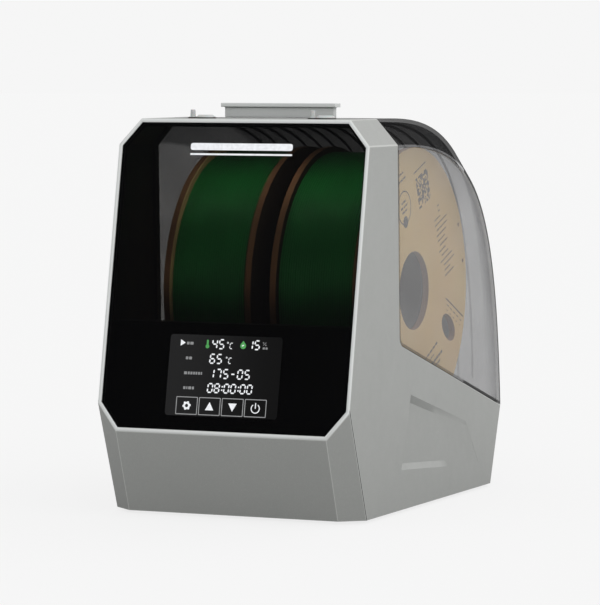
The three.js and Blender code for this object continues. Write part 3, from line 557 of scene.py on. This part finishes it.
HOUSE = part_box("main_housing")
GRIP_FRONT = HOUSE[0].y + 90 * MM  # the finger recesses lie behind this and below the next
GRIP_TOP = HOUSE[0].z + 79 * MM
CHAMBER = Vector((0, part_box("spool_left_core")[0].y + 30 * MM, (HOUSE[0].z + HOUSE[1].z) / 2))
SKIN = 1.5  # faces that look inwards from less deep than this are still grey
SEAM = 0.62  # faces nearer than this to the neighbouring shell line the dark seam


def inside(face):
    """1 for faces that look into the box, which are black, and 0 for the grey outside."""
    centre = face.calc_center_median()
    inward = (CHAMBER - centre).normalized()
    depth = min(HOUSE[1].x - abs(centre.x), HOUSE[1].z - centre.z)
    return int(face.normal.dot(inward) > 0.2 and depth > SKIN * MM)


def beside(node):
    """Paints inner faces black, and also the seam that runs along another node; the faces of rounded
    edges get the painted highlight.
    """
    tree = cad_tree(node)

    def paint(face):
        if inside(face) or tree.find_nearest(face.calc_center_median())[3] < SEAM * MM:
            return 1
        return 2 if face.tag else 0

    return paint


def convex(edge):
    return edge.is_convex


def outer_edge(edge):
    """True for the housing's outer edges, and not for those of its inside or its finger recesses."""
    middle = (edge.verts[0].co + edge.verts[1].co) / 2
    recess = abs(middle.x) > HOUSE[1].x - 1 * MM and edge.verts[0].co.y > GRIP_FRONT
    return edge.is_convex and not (recess and middle.z < GRIP_TOP)


# The housing's grey, its black inside, and the painted highlight for its rounded edges.
SHELL = [HOUSING, INNER, EDGE_HIGHLIGHT]
refined("main_housing", 0.6, 2.0, 3, 24, SHELL, beside("front_fascia"), smooth=7, wanted=outer_edge)
refined("front_fascia", 0.42, 2.0, 3, 24, SHELL, beside("main_housing"), wanted=convex)


# ---------------------------------------------------------------- front panel

def panel_frame():
    """The glass's front plane: a matrix whose X runs across, Y up the slope and Z outwards."""
    bm = cad_mesh("front_glass")
    face = max((f for f in bm.faces if f.normal.y < 0), key=lambda f: f.calc_area())
    out = face.normal.copy()
    up = out.cross(Vector((1, 0, 0))).normalized()
    crease = Vector((0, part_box("front_fascia")[0].y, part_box("lid_dome")[0].z))
    origin = crease + out * (face.verts[0].co - crease).dot(out)
    turn = Matrix((Vector((1, 0, 0)), up, out)).transposed().to_4x4()
    matrix = Matrix.Translation(origin) @ turn
    back = matrix.inverted()
    outline = [(back @ loop.vert.co).to_2d() / MM for loop in face.loops]
    bm.free()
    return matrix, outline


PANEL, GLASS_OUTLINE = panel_frame()


def offset(outline, distance):
    """A convex outline moved outwards by a distance; a negative one moves it inwards."""
    moved = []
    count = len(outline)
    for k in range(count):
        a, b, c = outline[k - 1], outline[k], outline[(k + 1) % count]
        m, n = (b - a).normalized(), (c - b).normalized()
        m, n = Vector((m.y, -m.x)), Vector((n.y, -n.x))
        moved.append(b + (m + n) * (distance / (1 + m.dot(n))))
    return moved


def prism(bm, outline, low, high, matrix=PANEL):
    """Adds a closed plate over an outline."""
    foot, top = corners(bm, outline, low, matrix), corners(bm, outline, high, matrix)
    bm.faces.new(top)
    bm.faces.new(foot[::-1])
    bridge(bm, foot, top)


def band(bm, outer, inner, low, high, matrix=PANEL):
    """Adds a closed ring-shaped plate between two outlines with as many points."""
    rows = [corners(bm, ring, height, matrix)
            for ring, height in ((outer, low), (outer, high), (inner, high), (inner, low))]
    for k in range(4):
        bridge(bm, rows[k], rows[(k + 1) % 4])


def rectangle(x0, x1, y0, y1, corner=0.0, steps=4):
    """A rectangle's outline, anticlockwise, with rounded corners if corner isn't 0."""
    if not corner:
        return [Vector(p) for p in ((x0, y0), (x1, y0), (x1, y1), (x0, y1))]
    points = []
    for cx, cy, start in ((x1 - corner, y0 + corner, -90), (x1 - corner, y1 - corner, 0),
                          (x0 + corner, y1 - corner, 90), (x0 + corner, y0 + corner, 180)):
        for k in range(steps + 1):
            a = math.radians(start + 90 * k / steps)
            points.append(Vector((cx + corner * math.cos(a), cy + corner * math.sin(a))))
    return points


def circle(x, y, radius, count=24, start=0.0, end=360.0):
    """A circle's outline, or an arc with both its ends."""
    steps = count if end - start >= 360 else count - 1
    angles = [math.radians(start + (end - start) * k / steps) for k in range(count)]
    return [Vector((x + radius * math.cos(a), y + radius * math.sin(a))) for a in angles]


refined("front_glass", 0.5, 1.0, 3)

MASK_TOP = 75.5  # the printed mask hides everything below this height up the panel
GLASS_THICK = 3.0
PRINT_GAP, PRINT_THICK = 0.03, 0.12  # between glass and print, and of the print


def make_ink():
    """Black print behind the glass, with the see-through window left open."""
    bm = bmesh.new()
    sides = offset(GLASS_OUTLINE, -0.6)
    hole = offset(GLASS_OUTLINE, -1.7)
    lowest = sorted(hole, key=lambda p: p.y)[:4]
    widest = max(abs(p.x) for p in lowest)
    window = []
    for p in hole:
        if p not in lowest:
            height = max(p.y, MASK_TOP)
        elif abs(p.x) < widest:
            height = MASK_TOP
        else:
            height = max(p.y, MASK_TOP + 0.01)  # keeps the two corners on each side apart
        window.append(Vector((p.x, height)))
    back = -GLASS_THICK - PRINT_GAP
    band(bm, sides, window, back - PRINT_THICK, back)
    finish_piece("glass_mask", bm, [INK], "housing")


make_ink()


def make_bezel():
    """The rounded bead that frames the glass, light grey as a painted highlight."""
    bm = bmesh.new()
    inner, outer, foot = 0.36, 2.75, 0.1
    side, bulge = 0.42, 0.55
    steps = 8
    rows = []
    for k in range(steps + 1):
        share = k / steps
        rise = side + bulge * math.sin(math.pi * share) ** 0.7
        rows.append(corners(bm, offset(GLASS_OUTLINE, inner + (outer - inner) * share), rise, PANEL))
    for distance in (outer, inner):
        rows.append(corners(bm, offset(GLASS_OUTLINE, distance), foot, PANEL))
    for k, row in enumerate(rows):
        bridge(bm, rows[(k + 1) % len(rows)], row)
    bmesh.ops.recalc_face_normals(bm, faces=bm.faces)
    finish_piece("glass_bezel", bm, [BEZEL_HIGHLIGHT], "housing")


make_bezel()


# Segments of a numeral, lettered a to g from the top, in a cell one wide and two high.
SEGMENTS = {
    "a": ((0.0, 2.0), (1.0, 2.0)), "b": ((1.0, 1.0), (1.0, 2.0)), "c": ((1.0, 0.0), (1.0, 1.0)),
    "d": ((0.0, 0.0), (1.0, 0.0)), "e": ((0.0, 0.0), (0.0, 1.0)), "f": ((0.0, 1.0), (0.0, 2.0)),
    "g": ((0.0, 1.0), (1.0, 1.0)),
}
NUMERALS = {
    "0": "abcdef", "1": "bc", "4": "bcfg", "5": "acdfg", "6": "acdefg", "7": "abc",
    "8": "abcdefg", "-": "g", "C": "adef",
}
MARK_LOW, MARK_HIGH = 0.02, 0.07  # the foot and the face of a mark, above the glass
DIGIT_WIDE, DIGIT_THICK = 3.3, 0.95
LEAN = 0.10  # of the numerals, across for each step up


def mark(bm, outline):
    """A thin mark on the glass."""
    prism(bm, outline, MARK_LOW, MARK_HIGH)


def stroke(bm, start, end, thick, trim=0.0):
    """A flat bar between two points on the panel, with pointed ends."""
    a, b = Vector(start), Vector(end)
    run = (b - a).normalized()
    a, b = a + run * trim, b - run * trim
    side = Vector((-run.y, run.x)) * thick / 2
    reach = run * thick / 2
    mark(bm, [a - side + reach, b - side - reach, b, b + side - reach, a + side + reach, a])


def numeral(bm, sign, x, y, wide, high, thick):
    """One seven-segment numeral, leaning a little, with its lower left corner at (x, y)."""
    for key in NUMERALS[sign]:
        ends = [(x + u * wide + v * high / 2 * LEAN, y + v * high / 2) for u, v in SEGMENTS[key]]
        stroke(bm, *ends, thick, trim=thick * 0.32)


def numerals(bm, text, x, y, high, pitch):
    """A row of numerals, in which a colon takes a narrow cell."""
    for sign in text:
        if sign == ":":
            for share in (0.3, 0.7):
                left, middle = x + 0.1 + share * high * LEAN, y + share * high
                mark(bm, rectangle(left, left + DIGIT_THICK, middle - DIGIT_THICK / 2,
                                   middle + DIGIT_THICK / 2))
            x += pitch * 0.42
        else:
            numeral(bm, sign, x, y, DIGIT_WIDE, high, DIGIT_THICK)
            x += pitch


def degrees_c(bm, x, y):
    """A degree ring and a C."""
    high = 4.3
    band(bm, circle(x, y + high * 0.9, 0.62, 14), circle(x, y + high * 0.9, 0.28, 14),
         MARK_LOW, MARK_HIGH)
    numeral(bm, "C", x + 1.5, y, 2.0, high * 0.86, 0.55)


def label(bm, x, y, widths, high=1.9):
    """A neutral label: a row of small plain bars."""
    for wide in widths:
        mark(bm, rectangle(x, x + wide, y, y + high, 0.3, 2))
        x += wide + 0.55


# The display's rows from the top: text, lower left corner, height and pitch of the numerals.
FIGURES = (
    ("45", -10.9, 58.3, 6.0, 5.0), ("15", 15.2, 58.6, 5.8, 5.0), ("65", -11.8, 48.4, 6.0, 5.0),
    ("175-05", -11.7, 38.5, 5.9, 5.25), ("08:00:00", -11.9, 28.8, 5.8, 4.95),
)
# Lower left corner and widths of the bars in place of each word.
LABELS = (
    (-29.6, 60.4, (1.9, 2.4)), (-29.6, 50.4, (1.9, 2.1)),
    (-30.0, 40.3, (2.2, 1.4, 1.5, 1.2, 1.3, 1.4, 1.0)), (-29.8, 30.3, (1.7, 0.9, 2.2, 1.5)),
)
KEY_LEFT, KEY_PITCH, KEY_WIDE, KEY_LOW, KEY_HIGH = -34.2, 16.85, 15.9, 13.3, 25.3
KEY_LINE = 0.5


def draw_rows(white, dim):
    """The figures, their units and labels, and the arrow at the first row."""
    mark(white, [Vector(p) for p in ((-34.2, 59.4), (-30.6, 61.6), (-34.2, 63.8))])
    for text, x, y, high, pitch in FIGURES:
        numerals(white, text, x, y, high, pitch)
    for x, y in ((0.6, 58.6), (0.5, 48.6)):
        degrees_c(white, x, y)
    for x, y, widths in LABELS:
        label(dim, x, y, widths)
    # A percent sign over two bars.
    for x, y in ((26.6, 63.2), (28.4, 61.6)):
        mark(dim, circle(x, y, 0.45, 10))
    stroke(dim, (26.4, 61.4), (28.7, 63.5), 0.4)
    label(dim, 26.3, 58.8, (1.5, 1.5), 1.4)


def draw_signs(green, white):
    """A thermometer, and a drop with a stroke across it."""
    mark(green, rectangle(-15.0, -13.6, 59.6, 64.1, 0.69))
    mark(green, circle(-14.3, 59.6, 1.35))
    mark(green, [*circle(11.9, 60.7, 2.1, 20, -220, 40), Vector((11.9, 64.1))])
    stroke(white, (10.9, 60.4), (12.7, 61.5), 0.8)


def draw_keys(lines, white):
    """Four touch keys in outline, with a gear, arrows up and down, and a power sign."""
    for k in range(4):
        x = KEY_LEFT + KEY_PITCH * k
        inner = rectangle(x + KEY_LINE, x + KEY_WIDE - KEY_LINE, KEY_LOW + KEY_LINE,
                          KEY_HIGH - KEY_LINE, 0.3, 2)
        band(lines, rectangle(x, x + KEY_WIDE, KEY_LOW, KEY_HIGH, 0.5, 2), inner, MARK_LOW, MARK_HIGH)
    middle = (KEY_LOW + KEY_HIGH) / 2
    gear, up, down, power = (KEY_LEFT + KEY_WIDE / 2 + KEY_PITCH * k for k in range(4))

    teeth = []
    for k in range(24):
        radius, a = 3.1 if k % 4 < 2 else 2.45, math.radians(15 * k)
        teeth.append(Vector((gear + radius * math.cos(a), middle + radius * math.sin(a))))
    band(white, teeth, circle(gear, middle, 1.15, 24), MARK_LOW, MARK_HIGH)

    for x, rise in ((up, 1), (down, -1)):
        foot = middle - 2.6 * rise
        tip = [Vector((x - 3.1, foot)), Vector((x + 3.1, foot)), Vector((x, middle + 2.9 * rise))]
        mark(white, tip if rise > 0 else tip[::-1])

    arc, hollow = (circle(power, middle - 0.2, radius, 26, 125, 415) for radius in (3.3, 2.65))
    for k in range(25):
        mark(white, [arc[k], arc[k + 1], hollow[k + 1], hollow[k]])
    mark(white, rectangle(power - 0.35, power + 0.35, middle - 0.2, middle + 3.6))


def make_marks():
    white, dim, green, lines = (bmesh.new() for _ in range(4))
    draw_rows(white, dim)
    draw_signs(green, white)
    draw_keys(lines, white)
    # Two plain stripes near the top of the glass.
    mark(white, rectangle(-38.6, 36.8, 192.6, 197.4, 1.6))
    mark(white, rectangle(-38.6, 36.8, 189.2, 190.4, 0.5, 2))
    for name, bm, material in (("display_figures", white, LIT_WHITE), ("display_labels", dim, LIT_DIM),
                               ("display_signs", green, LIT_GREEN), ("touch_key_lines", lines, LIT_LINE)):
        bmesh.ops.recalc_face_normals(bm, faces=bm.faces)
        finish_piece(name, bm, [material], "housing", weighted=False)
    bm = bmesh.new()
    prism(bm, rectangle(-42.0, 40.4, 12.4, 67.2, 2.2), 0.005, 0.015)
    finish_piece("display_window", bm, [DISPLAY], "housing", weighted=False)


make_marks()


# ---------------------------------------------------------------- lid

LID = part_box("lid_dome")
SPLIT = 0.58  # share of the lid's length at which its flat rim turns from milky to dark


def make_dome():
    """The dome; its rim round the side windows is milky at the front and dark at the rear."""
    bm = cad_mesh("lid_dome")

    def width_at(vert):
        return round(abs(vert.co.x) / MM)

    chamfer = {width_at(v) for v in bm.verts if v.co.z > LID[1].z - 0.5 * MM}
    round_edges(bm, 0.5, 1.2, 3, 24,
                lambda edge: edge.is_convex and all(width_at(v) in chamfer for v in edge.verts))
    split = Vector((0, LID[0].y + SPLIT * (LID[1].y - LID[0].y), 0))
    bmesh.ops.bisect_plane(bm, geom=[*bm.verts, *bm.edges, *bm.faces], plane_co=split,
                           plane_no=(0, 1, 0))
    bm.normal_update()
    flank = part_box("lid_window_right")[1].x - 1 * MM
    for face in bm.faces:
        centre = face.calc_center_median()
        if abs(centre.x) > flank and abs(face.normal.x) > 0.9:
            face.material_index = 1 if centre.y < split.y else 2
        elif 0.25 < abs(face.normal.x) < 0.9:
            face.material_index = 3
    finish_piece("lid_dome_piece", bm, [SMOKE, MILK, RIM, CORNER], "lid", ["lid_dome"])


make_dome()
for side in SIDES:
    refined("lid_window_" + side, 0.35, 1.2)
refined("lid_handle", 0.55, 1.0, 3)
refined("lid_seal", 0)

RIB_RAYS = 60  # steps of the fan of rays that finds the ribs' curve on the dome
RIB_START, RIB_SWEEP = 118, 146  # degrees from the rear, over the top and down behind
RIB_PITCH, RIBS_ASIDE = 11.06, 6  # and as many ribs on each side of the middle one
RIB_SECTION = ((-0.5, -0.2), (0.5, -0.2), (0.35, 1.5), (-0.35, 1.5))  # across, and below the dome


def make_ribs():
    """Thin ribs inside the dome, from the collar over to its rear edge."""
    tree = cad_tree("lid_dome")
    low, high = LID
    rise = high.z - low.z
    middle = Vector((0, CHAMBER.y, low.z + 0.35 * rise))
    curve = []
    for k in range(RIB_RAYS + 1):
        angle = math.radians(RIB_START - RIB_SWEEP * k / RIB_RAYS)
        aim = Vector((0, math.cos(angle), math.sin(angle)))
        spot = tree.ray_cast(middle, aim)[0]
        if spot is not None and spot.z > low.z + 0.06 * rise and spot.y > low.y + 6 * MM:
            curve.append((spot, aim))
    bm = bmesh.new()
    for count in range(-RIBS_ASIDE, RIBS_ASIDE + 1):
        x = RIB_PITCH * count
        rows = [[bm.verts.new(Vector(((x + across) * MM, spot.y, spot.z)) - aim * depth * MM)
                 for across, depth in RIB_SECTION] for spot, aim in curve]
        for a, b in zip(rows, rows[1:]):
            bridge(bm, a, b)
        bm.faces.new(rows[0][::-1])
        bm.faces.new(rows[-1])
    bmesh.ops.recalc_face_normals(bm, faces=bm.faces)
    finish_piece("lid_ribs", bm, [RIB], "lid")


make_ribs()


CATCH_SIZE = (1.5, 3.1, 1.9)
CATCHES, CATCH_TOP, CATCH_PITCH = 6, 26, 25.1  # on each side; the first one's depth, and the step
CATCH_X, CATCH_BACK = 88.0, 2.4  # from the middle, and in front of the side windows
COLLAR_SLOPE = 0.0266  # of the collar's rear edge, rearwards for each step down


def make_catches():
    """Small catches along the collar's inner rear edge, which hold the seal."""
    bm = bmesh.new()
    edge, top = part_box("lid_window_right")[0].y, HOUSE[1].z
    for side in (-1, 1):
        for k in range(CATCHES):
            z = top - (CATCH_TOP + CATCH_PITCH * k) * MM
            y = edge - CATCH_BACK * MM + COLLAR_SLOPE * (top - z)
            corner = Vector((CATCH_X * side * MM, y, z))
            size = Vector((CATCH_SIZE[0] * side, *CATCH_SIZE[1:])) * MM
            for vert in bmesh.ops.create_cube(bm, size=1.0)["verts"]:
                vert.co = corner + Vector((vert.co[i] * size[i] for i in range(3))) + size / 2
    bmesh.ops.recalc_face_normals(bm, faces=bm.faces)
    round_edges(bm, 0.3, 0.5, 2, 30)
    finish_piece("collar_catches", bm, [BLACK], "housing")


make_catches()


def make_shadow_ring(name, x, y, inner, outer, low, high, body):
    """A thin black ring that lies flat, which serves as a painted shadow."""
    bm = bmesh.new()
    band(bm, circle(x, y, outer, 28), circle(x, y, inner, 28), low, high, Matrix())
    finish_piece(name, bm, [BLACK], body)


def make_painted_shadows():
    """Painted shadows: dark rings round the foot of each outlet and stopper, and a dark line under the
    handle's lip.
    """
    top = HOUSE[1].z / MM
    for side in SIDES:
        low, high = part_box("outlet_grommet_" + side)
        x, y = (low.x + high.x) / 2 / MM, (low.y + high.y) / 2 / MM
        # Painted shadows: black rings at the foot of each outlet and stopper.
        make_shadow_ring(f"outlet_shadow_{side}", x, y, 6.55, 7.0, top + 0.04, top + 0.7, "housing")
        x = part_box("outlet_stopper_" + side)[0].x / MM + 2.9
        make_shadow_ring(f"stopper_shadow_{side}", x, y, 2.95, 3.4, top + 0.1, top + 0.75, "stopper_" + side)
    low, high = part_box("lid_handle")
    front, lip = low.y / MM + 2.5, high.z / MM - 2.8
    bm = bmesh.new()
    # Painted shadow: a black strip under the handle's lip.
    prism(bm, rectangle(-40.8, 40.8, front - 0.12, front + 0.3), lip - 0.5, lip - 0.02, Matrix())
    bmesh.ops.recalc_face_normals(bm, faces=bm.faces)
    finish_piece("handle_lip_shadow", bm, [BLACK], "lid")


make_painted_shadows()


# ---------------------------------------------------------------- spools

STRAND_STEPS = 6  # faces over a strand's round top
WINDING_TURN = 144  # faces round a winding


def axis_of(node):
    low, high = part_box(node)
    return (low + high) / 2


def lathe(bm, profile, centre, segments, wobble, index):
    """Turns a closed profile of (x, radius) in metres about the X line through centre."""
    rows = []
    for k in range(segments):
        angle = math.tau * k / segments
        row = []
        for x, radius in profile:
            r = radius + wobble(x, radius, angle)
            row.append(bm.verts.new(Vector((x, centre.y + r * math.cos(angle),
                                            centre.z + r * math.sin(angle)))))
        rows.append(row)
    for k in range(segments):
        for i, face in enumerate(bridge(bm, rows[k], rows[(k + 1) % segments])):
            face.material_index = index(i)
    bmesh.ops.recalc_face_normals(bm, faces=bm.faces)


def make_winding(side):
    """Turns of filament laid side by side, each strand round, with small slips in their height."""
    node = f"spool_{side}_winding"
    low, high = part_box(node)
    centre = axis_of(node)
    outer = (high.z - low.z) / 2
    inner = (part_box(f"spool_{side}_core")[1].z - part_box(f"spool_{side}_core")[0].z) / 2 + 0.3 * MM
    pitch = (high.x - low.x) / TURNS
    strand = pitch / 2
    profile = []
    for k in range(TURNS):
        middle = low.x + pitch * (k + 0.5)
        for step in range(STRAND_STEPS + 1):
            if step == STRAND_STEPS and k < TURNS - 1:
                continue  # the next strand starts at this point
            angle = math.pi * (1 - step / STRAND_STEPS)
            profile.append((middle + strand * math.cos(angle),
                            outer - strand + strand * (0.25 + 0.75 * math.sin(angle))))
    profile += [(high.x, inner), (low.x, inner)]
    seed = 3.1 if side == "left" else 8.7

    def wobble(x, radius, angle):
        if radius < outer - 4 * MM:
            return 0.0
        row = math.floor((x - low.x) / pitch)
        spot = Vector((row * 0.9 + seed, math.cos(angle) * 2.2, math.sin(angle) * 2.2))
        return min(0.0, noise.noise(spot) * 0.22 - 0.05) * MM

    # The two end faces, against the flanges, take the dark core board as painted shade.
    ends = (len(profile) - 3, len(profile) - 1)
    bm = bmesh.new()
    lathe(bm, profile, centre, WINDING_TURN, wobble, lambda i: int(i in ends))
    finish_piece(node + "_piece", bm, [FILAMENT, CORE], f"spool_{side}", [node], 60, False)


def flange_paint(face):
    return int(abs(face.normal.x) < 0.6)


for side in SIDES:
    # The inner flanges take the board darkened as painted shade.
    for part, card in (("inner", CARD_SHADE), ("outer", CARD)):
        refined(f"spool_{side}_{part}_flange", 0.45, 0.3, 3, materials=[card, CARD_EDGE],
                paint=flange_paint)
    refined(f"spool_{side}_core", 0.3, materials=[CORE])
    make_winding(side)
    for end in ENDS:
        refined(f"roller_{side}_{end}", 0.6, segments=3)


CODE_CORNER, CODE_CELLS, CODE_CELL = Vector((1.6, 77.6)), 14, 1.62
PRINT_HIGH = 0.06
PRINT_LEAN = math.radians(20)
ALONG = Vector((math.cos(PRINT_LEAN), math.sin(PRINT_LEAN)))  # the way that the print runs
DOWN = Vector((math.sin(PRINT_LEAN), -math.cos(PRINT_LEAN)))


def make_prints(side):
    """Plain printed marks on a spool's outer face: hatching, a list, a ring and short lines."""
    low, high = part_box(f"spool_{side}_outer_flange")
    centre = axis_of(f"spool_{side}_outer_flange")
    sign = 1 if side == "right" else -1
    face_x = (high.x if side == "right" else low.x) + sign * 0.01 * MM
    matrix = Matrix.Translation((face_x, centre.y, centre.z)) @ Matrix((
        (0, 0, sign, 0), (1, 0, 0, 0), (0, 1, 0, 0), (0, 0, 0, 1)))
    draw = random.Random(11)
    bm = bmesh.new()

    def stamp(outline):
        prism(bm, outline, 0.0, PRINT_HIGH, matrix)

    def bar(start, end, thick):
        a, b = Vector(start), Vector(end)
        across = (b - a).normalized()
        across = Vector((-across.y, across.x)) * thick / 2
        stamp([a - across, b - across, b + across, a + across])

    def words(start, length, thick):
        """A line of short bars that stands for a line of print."""
        done = 0.0
        while done < length:
            long = min(draw.uniform(1.6, 4.6), length - done)
            bar(start + ALONG * done, start + ALONG * (done + long), thick)
            done += long + 1.1

    # A square of random hatching that holds no code, with a line of print above it.
    ink = CODE_CELL * 0.95
    for row in range(CODE_CELLS):
        for column in range(CODE_CELLS):
            if draw.random() < 0.62:
                spot = CODE_CORNER + ALONG * CODE_CELL * column + DOWN * CODE_CELL * row
                stamp([spot, spot + DOWN * ink, spot + (ALONG + DOWN) * ink, spot + ALONG * ink])
    words(Vector((-1.6, 81.6)), 22.5, 1.1)

    # A list of short lines beside the bore; the first two are the shortest.
    for k in range(14):
        start = draw.uniform(-11.5, -5.0) if k > 1 else -1.0
        end = draw.uniform(1.0, 14.0) if k > 1 else 2.0
        line = Vector((43.9, 57.8)) + DOWN * 4.05 * k
        words(line + ALONG * (start + 0.35 * k), end - start, 0.95)

    # A ring with a disc on its edge, and lines of print in it and above it.
    middle = Vector((-18.5, 58.5))
    band(bm, circle(*middle, 12.0, 40), circle(*middle, 11.1, 40), 0.0, PRINT_HIGH, matrix)
    stamp(circle(-16.2, 48.6, 4.2, 20))
    for k, long in enumerate((8.0, 12.5, 9.5)):
        words(middle + DOWN * (3.4 * k - 4.2) - ALONG * long / 2, long, 1.5)
    for k, long in enumerate((15.0, 11.0)):
        words(Vector((-31.0, 75.0)) + DOWN * (-4.6 * k) + ALONG * 1.2 * k, long, 1.2)

    # A long line above the slot with small marks under it, and a few broken lines below.
    bar((60.4, -9.0), (93.4, -24.0), 1.0)
    for k in range(5):
        bar((62.5 + 6.2 * k, -13.6 - 3.0 * k), (65.5 + 6.2 * k, -15.0 - 3.0 * k), 0.8)
        bar((61.5 + 6.2 * k, -17.4 - 3.0 * k), (63.0 + 6.2 * k, -18.1 - 3.0 * k), 0.8)
    for start, end, thick in (((19.8, -50.3), (45.1, -38.5), 1.6), ((22.5, -54.0), (38.0, -47.0), 0.9),
                              ((33.7, -54.0), (54.1, -45.4), 2.2), ((36.4, -57.4), (50.0, -51.6), 1.6)):
        a, b = Vector(start), Vector(end)
        for k in range(5):
            bar(a + (b - a) * k / 5, a + (b - a) * (k + 0.72) / 5, thick)
    bmesh.ops.recalc_face_normals(bm, faces=bm.faces)
    finish_piece(f"spool_{side}_print", bm, [CARD_PRINT], f"spool_{side}", weighted=False)


for side in SIDES:
    make_prints(side)


# ---------------------------------------------------------------- everything else

# The width of each remaining node's rounding, and the number of its segments.
ROUNDED = {
    "base_plate": (0.4, 2), "power_inlet": (0.35, 2), "switch_housing": (0.35, 2),
    "power_rocker": (0.4, 3), "fan_frame": (0.5, 2), "fan_impeller": (0.3, 2),
    "air_duct": (0.3, 2), "front_partition": (0.3, 2), "chamber_floor": (0.3, 2),
    "control_board": (0.15, 1), "power_supply_board": (0.2, 1), "power_transformer": (0.6, 2),
    "humidity_sensor_board": (0.15, 1), "display_module": (0.3, 2), "touch_key_board": (0.15, 1),
    "roller_axle_front": (0.3, 2), "roller_axle_rear": (0.3, 2), "heater_core": (0.1, 1),
}
for side in SIDES:
    ROUNDED["hinge_leaf_lid_" + side] = (0.25, 2)
    ROUNDED["hinge_leaf_housing_" + side] = (0.25, 2)
    ROUNDED["hinge_pin_" + side] = (0.2, 2)
    ROUNDED["outlet_grommet_" + side] = (0.3, 2)
    ROUNDED["outlet_stopper_" + side] = (0.2, 2)
    for end in ENDS:
        ROUNDED[f"foot_{end}_{side}"] = (0.4, 2)
        ROUNDED[f"base_screw_{end}_{side}"] = (0.25, 2)
for node, (width, segments) in ROUNDED.items():
    refined(node, width, segments=segments, angle=34)


def make_chamber_light(name, middle, tilt, size, power, pieces):
    """A soft unseen light behind the glass, which lights only the pieces named."""
    data = bpy.data.lights.new(name, "AREA")
    data.shape = "RECTANGLE"
    data.size, data.size_y = size[0] * MM, size[1] * MM
    data.energy = power
    light = bpy.data.objects.new(name, data)
    turn = Matrix.Rotation(math.radians(tilt), 4, "X")
    light.matrix_world = PANEL @ Matrix.Translation(Vector(middle) * MM) @ turn
    light.visible_camera = False
    SCENE.collection.objects.link(light)
    lit_pieces = bpy.data.collections.new(name + "_pieces")
    for piece in pieces:
        lit_pieces.objects.link(bpy.data.objects[piece])
    light.light_linking.receiver_collection = lit_pieces


# They make the windings and flanges show through the dark glass. Places are in the panel's frame.
SPOOL_PIECES = [f"spool_{side}_{part}_piece" for side in SIDES
                for part in ("winding", "inner_flange", "outer_flange")]
make_chamber_light("light_above_spools", (0, 209, -38), -62, (160, 24), 0.13, SPOOL_PIECES)
make_chamber_light("light_before_spools", (0, 118, -20), 30, (160, 40), 0.032, SPOOL_PIECES)
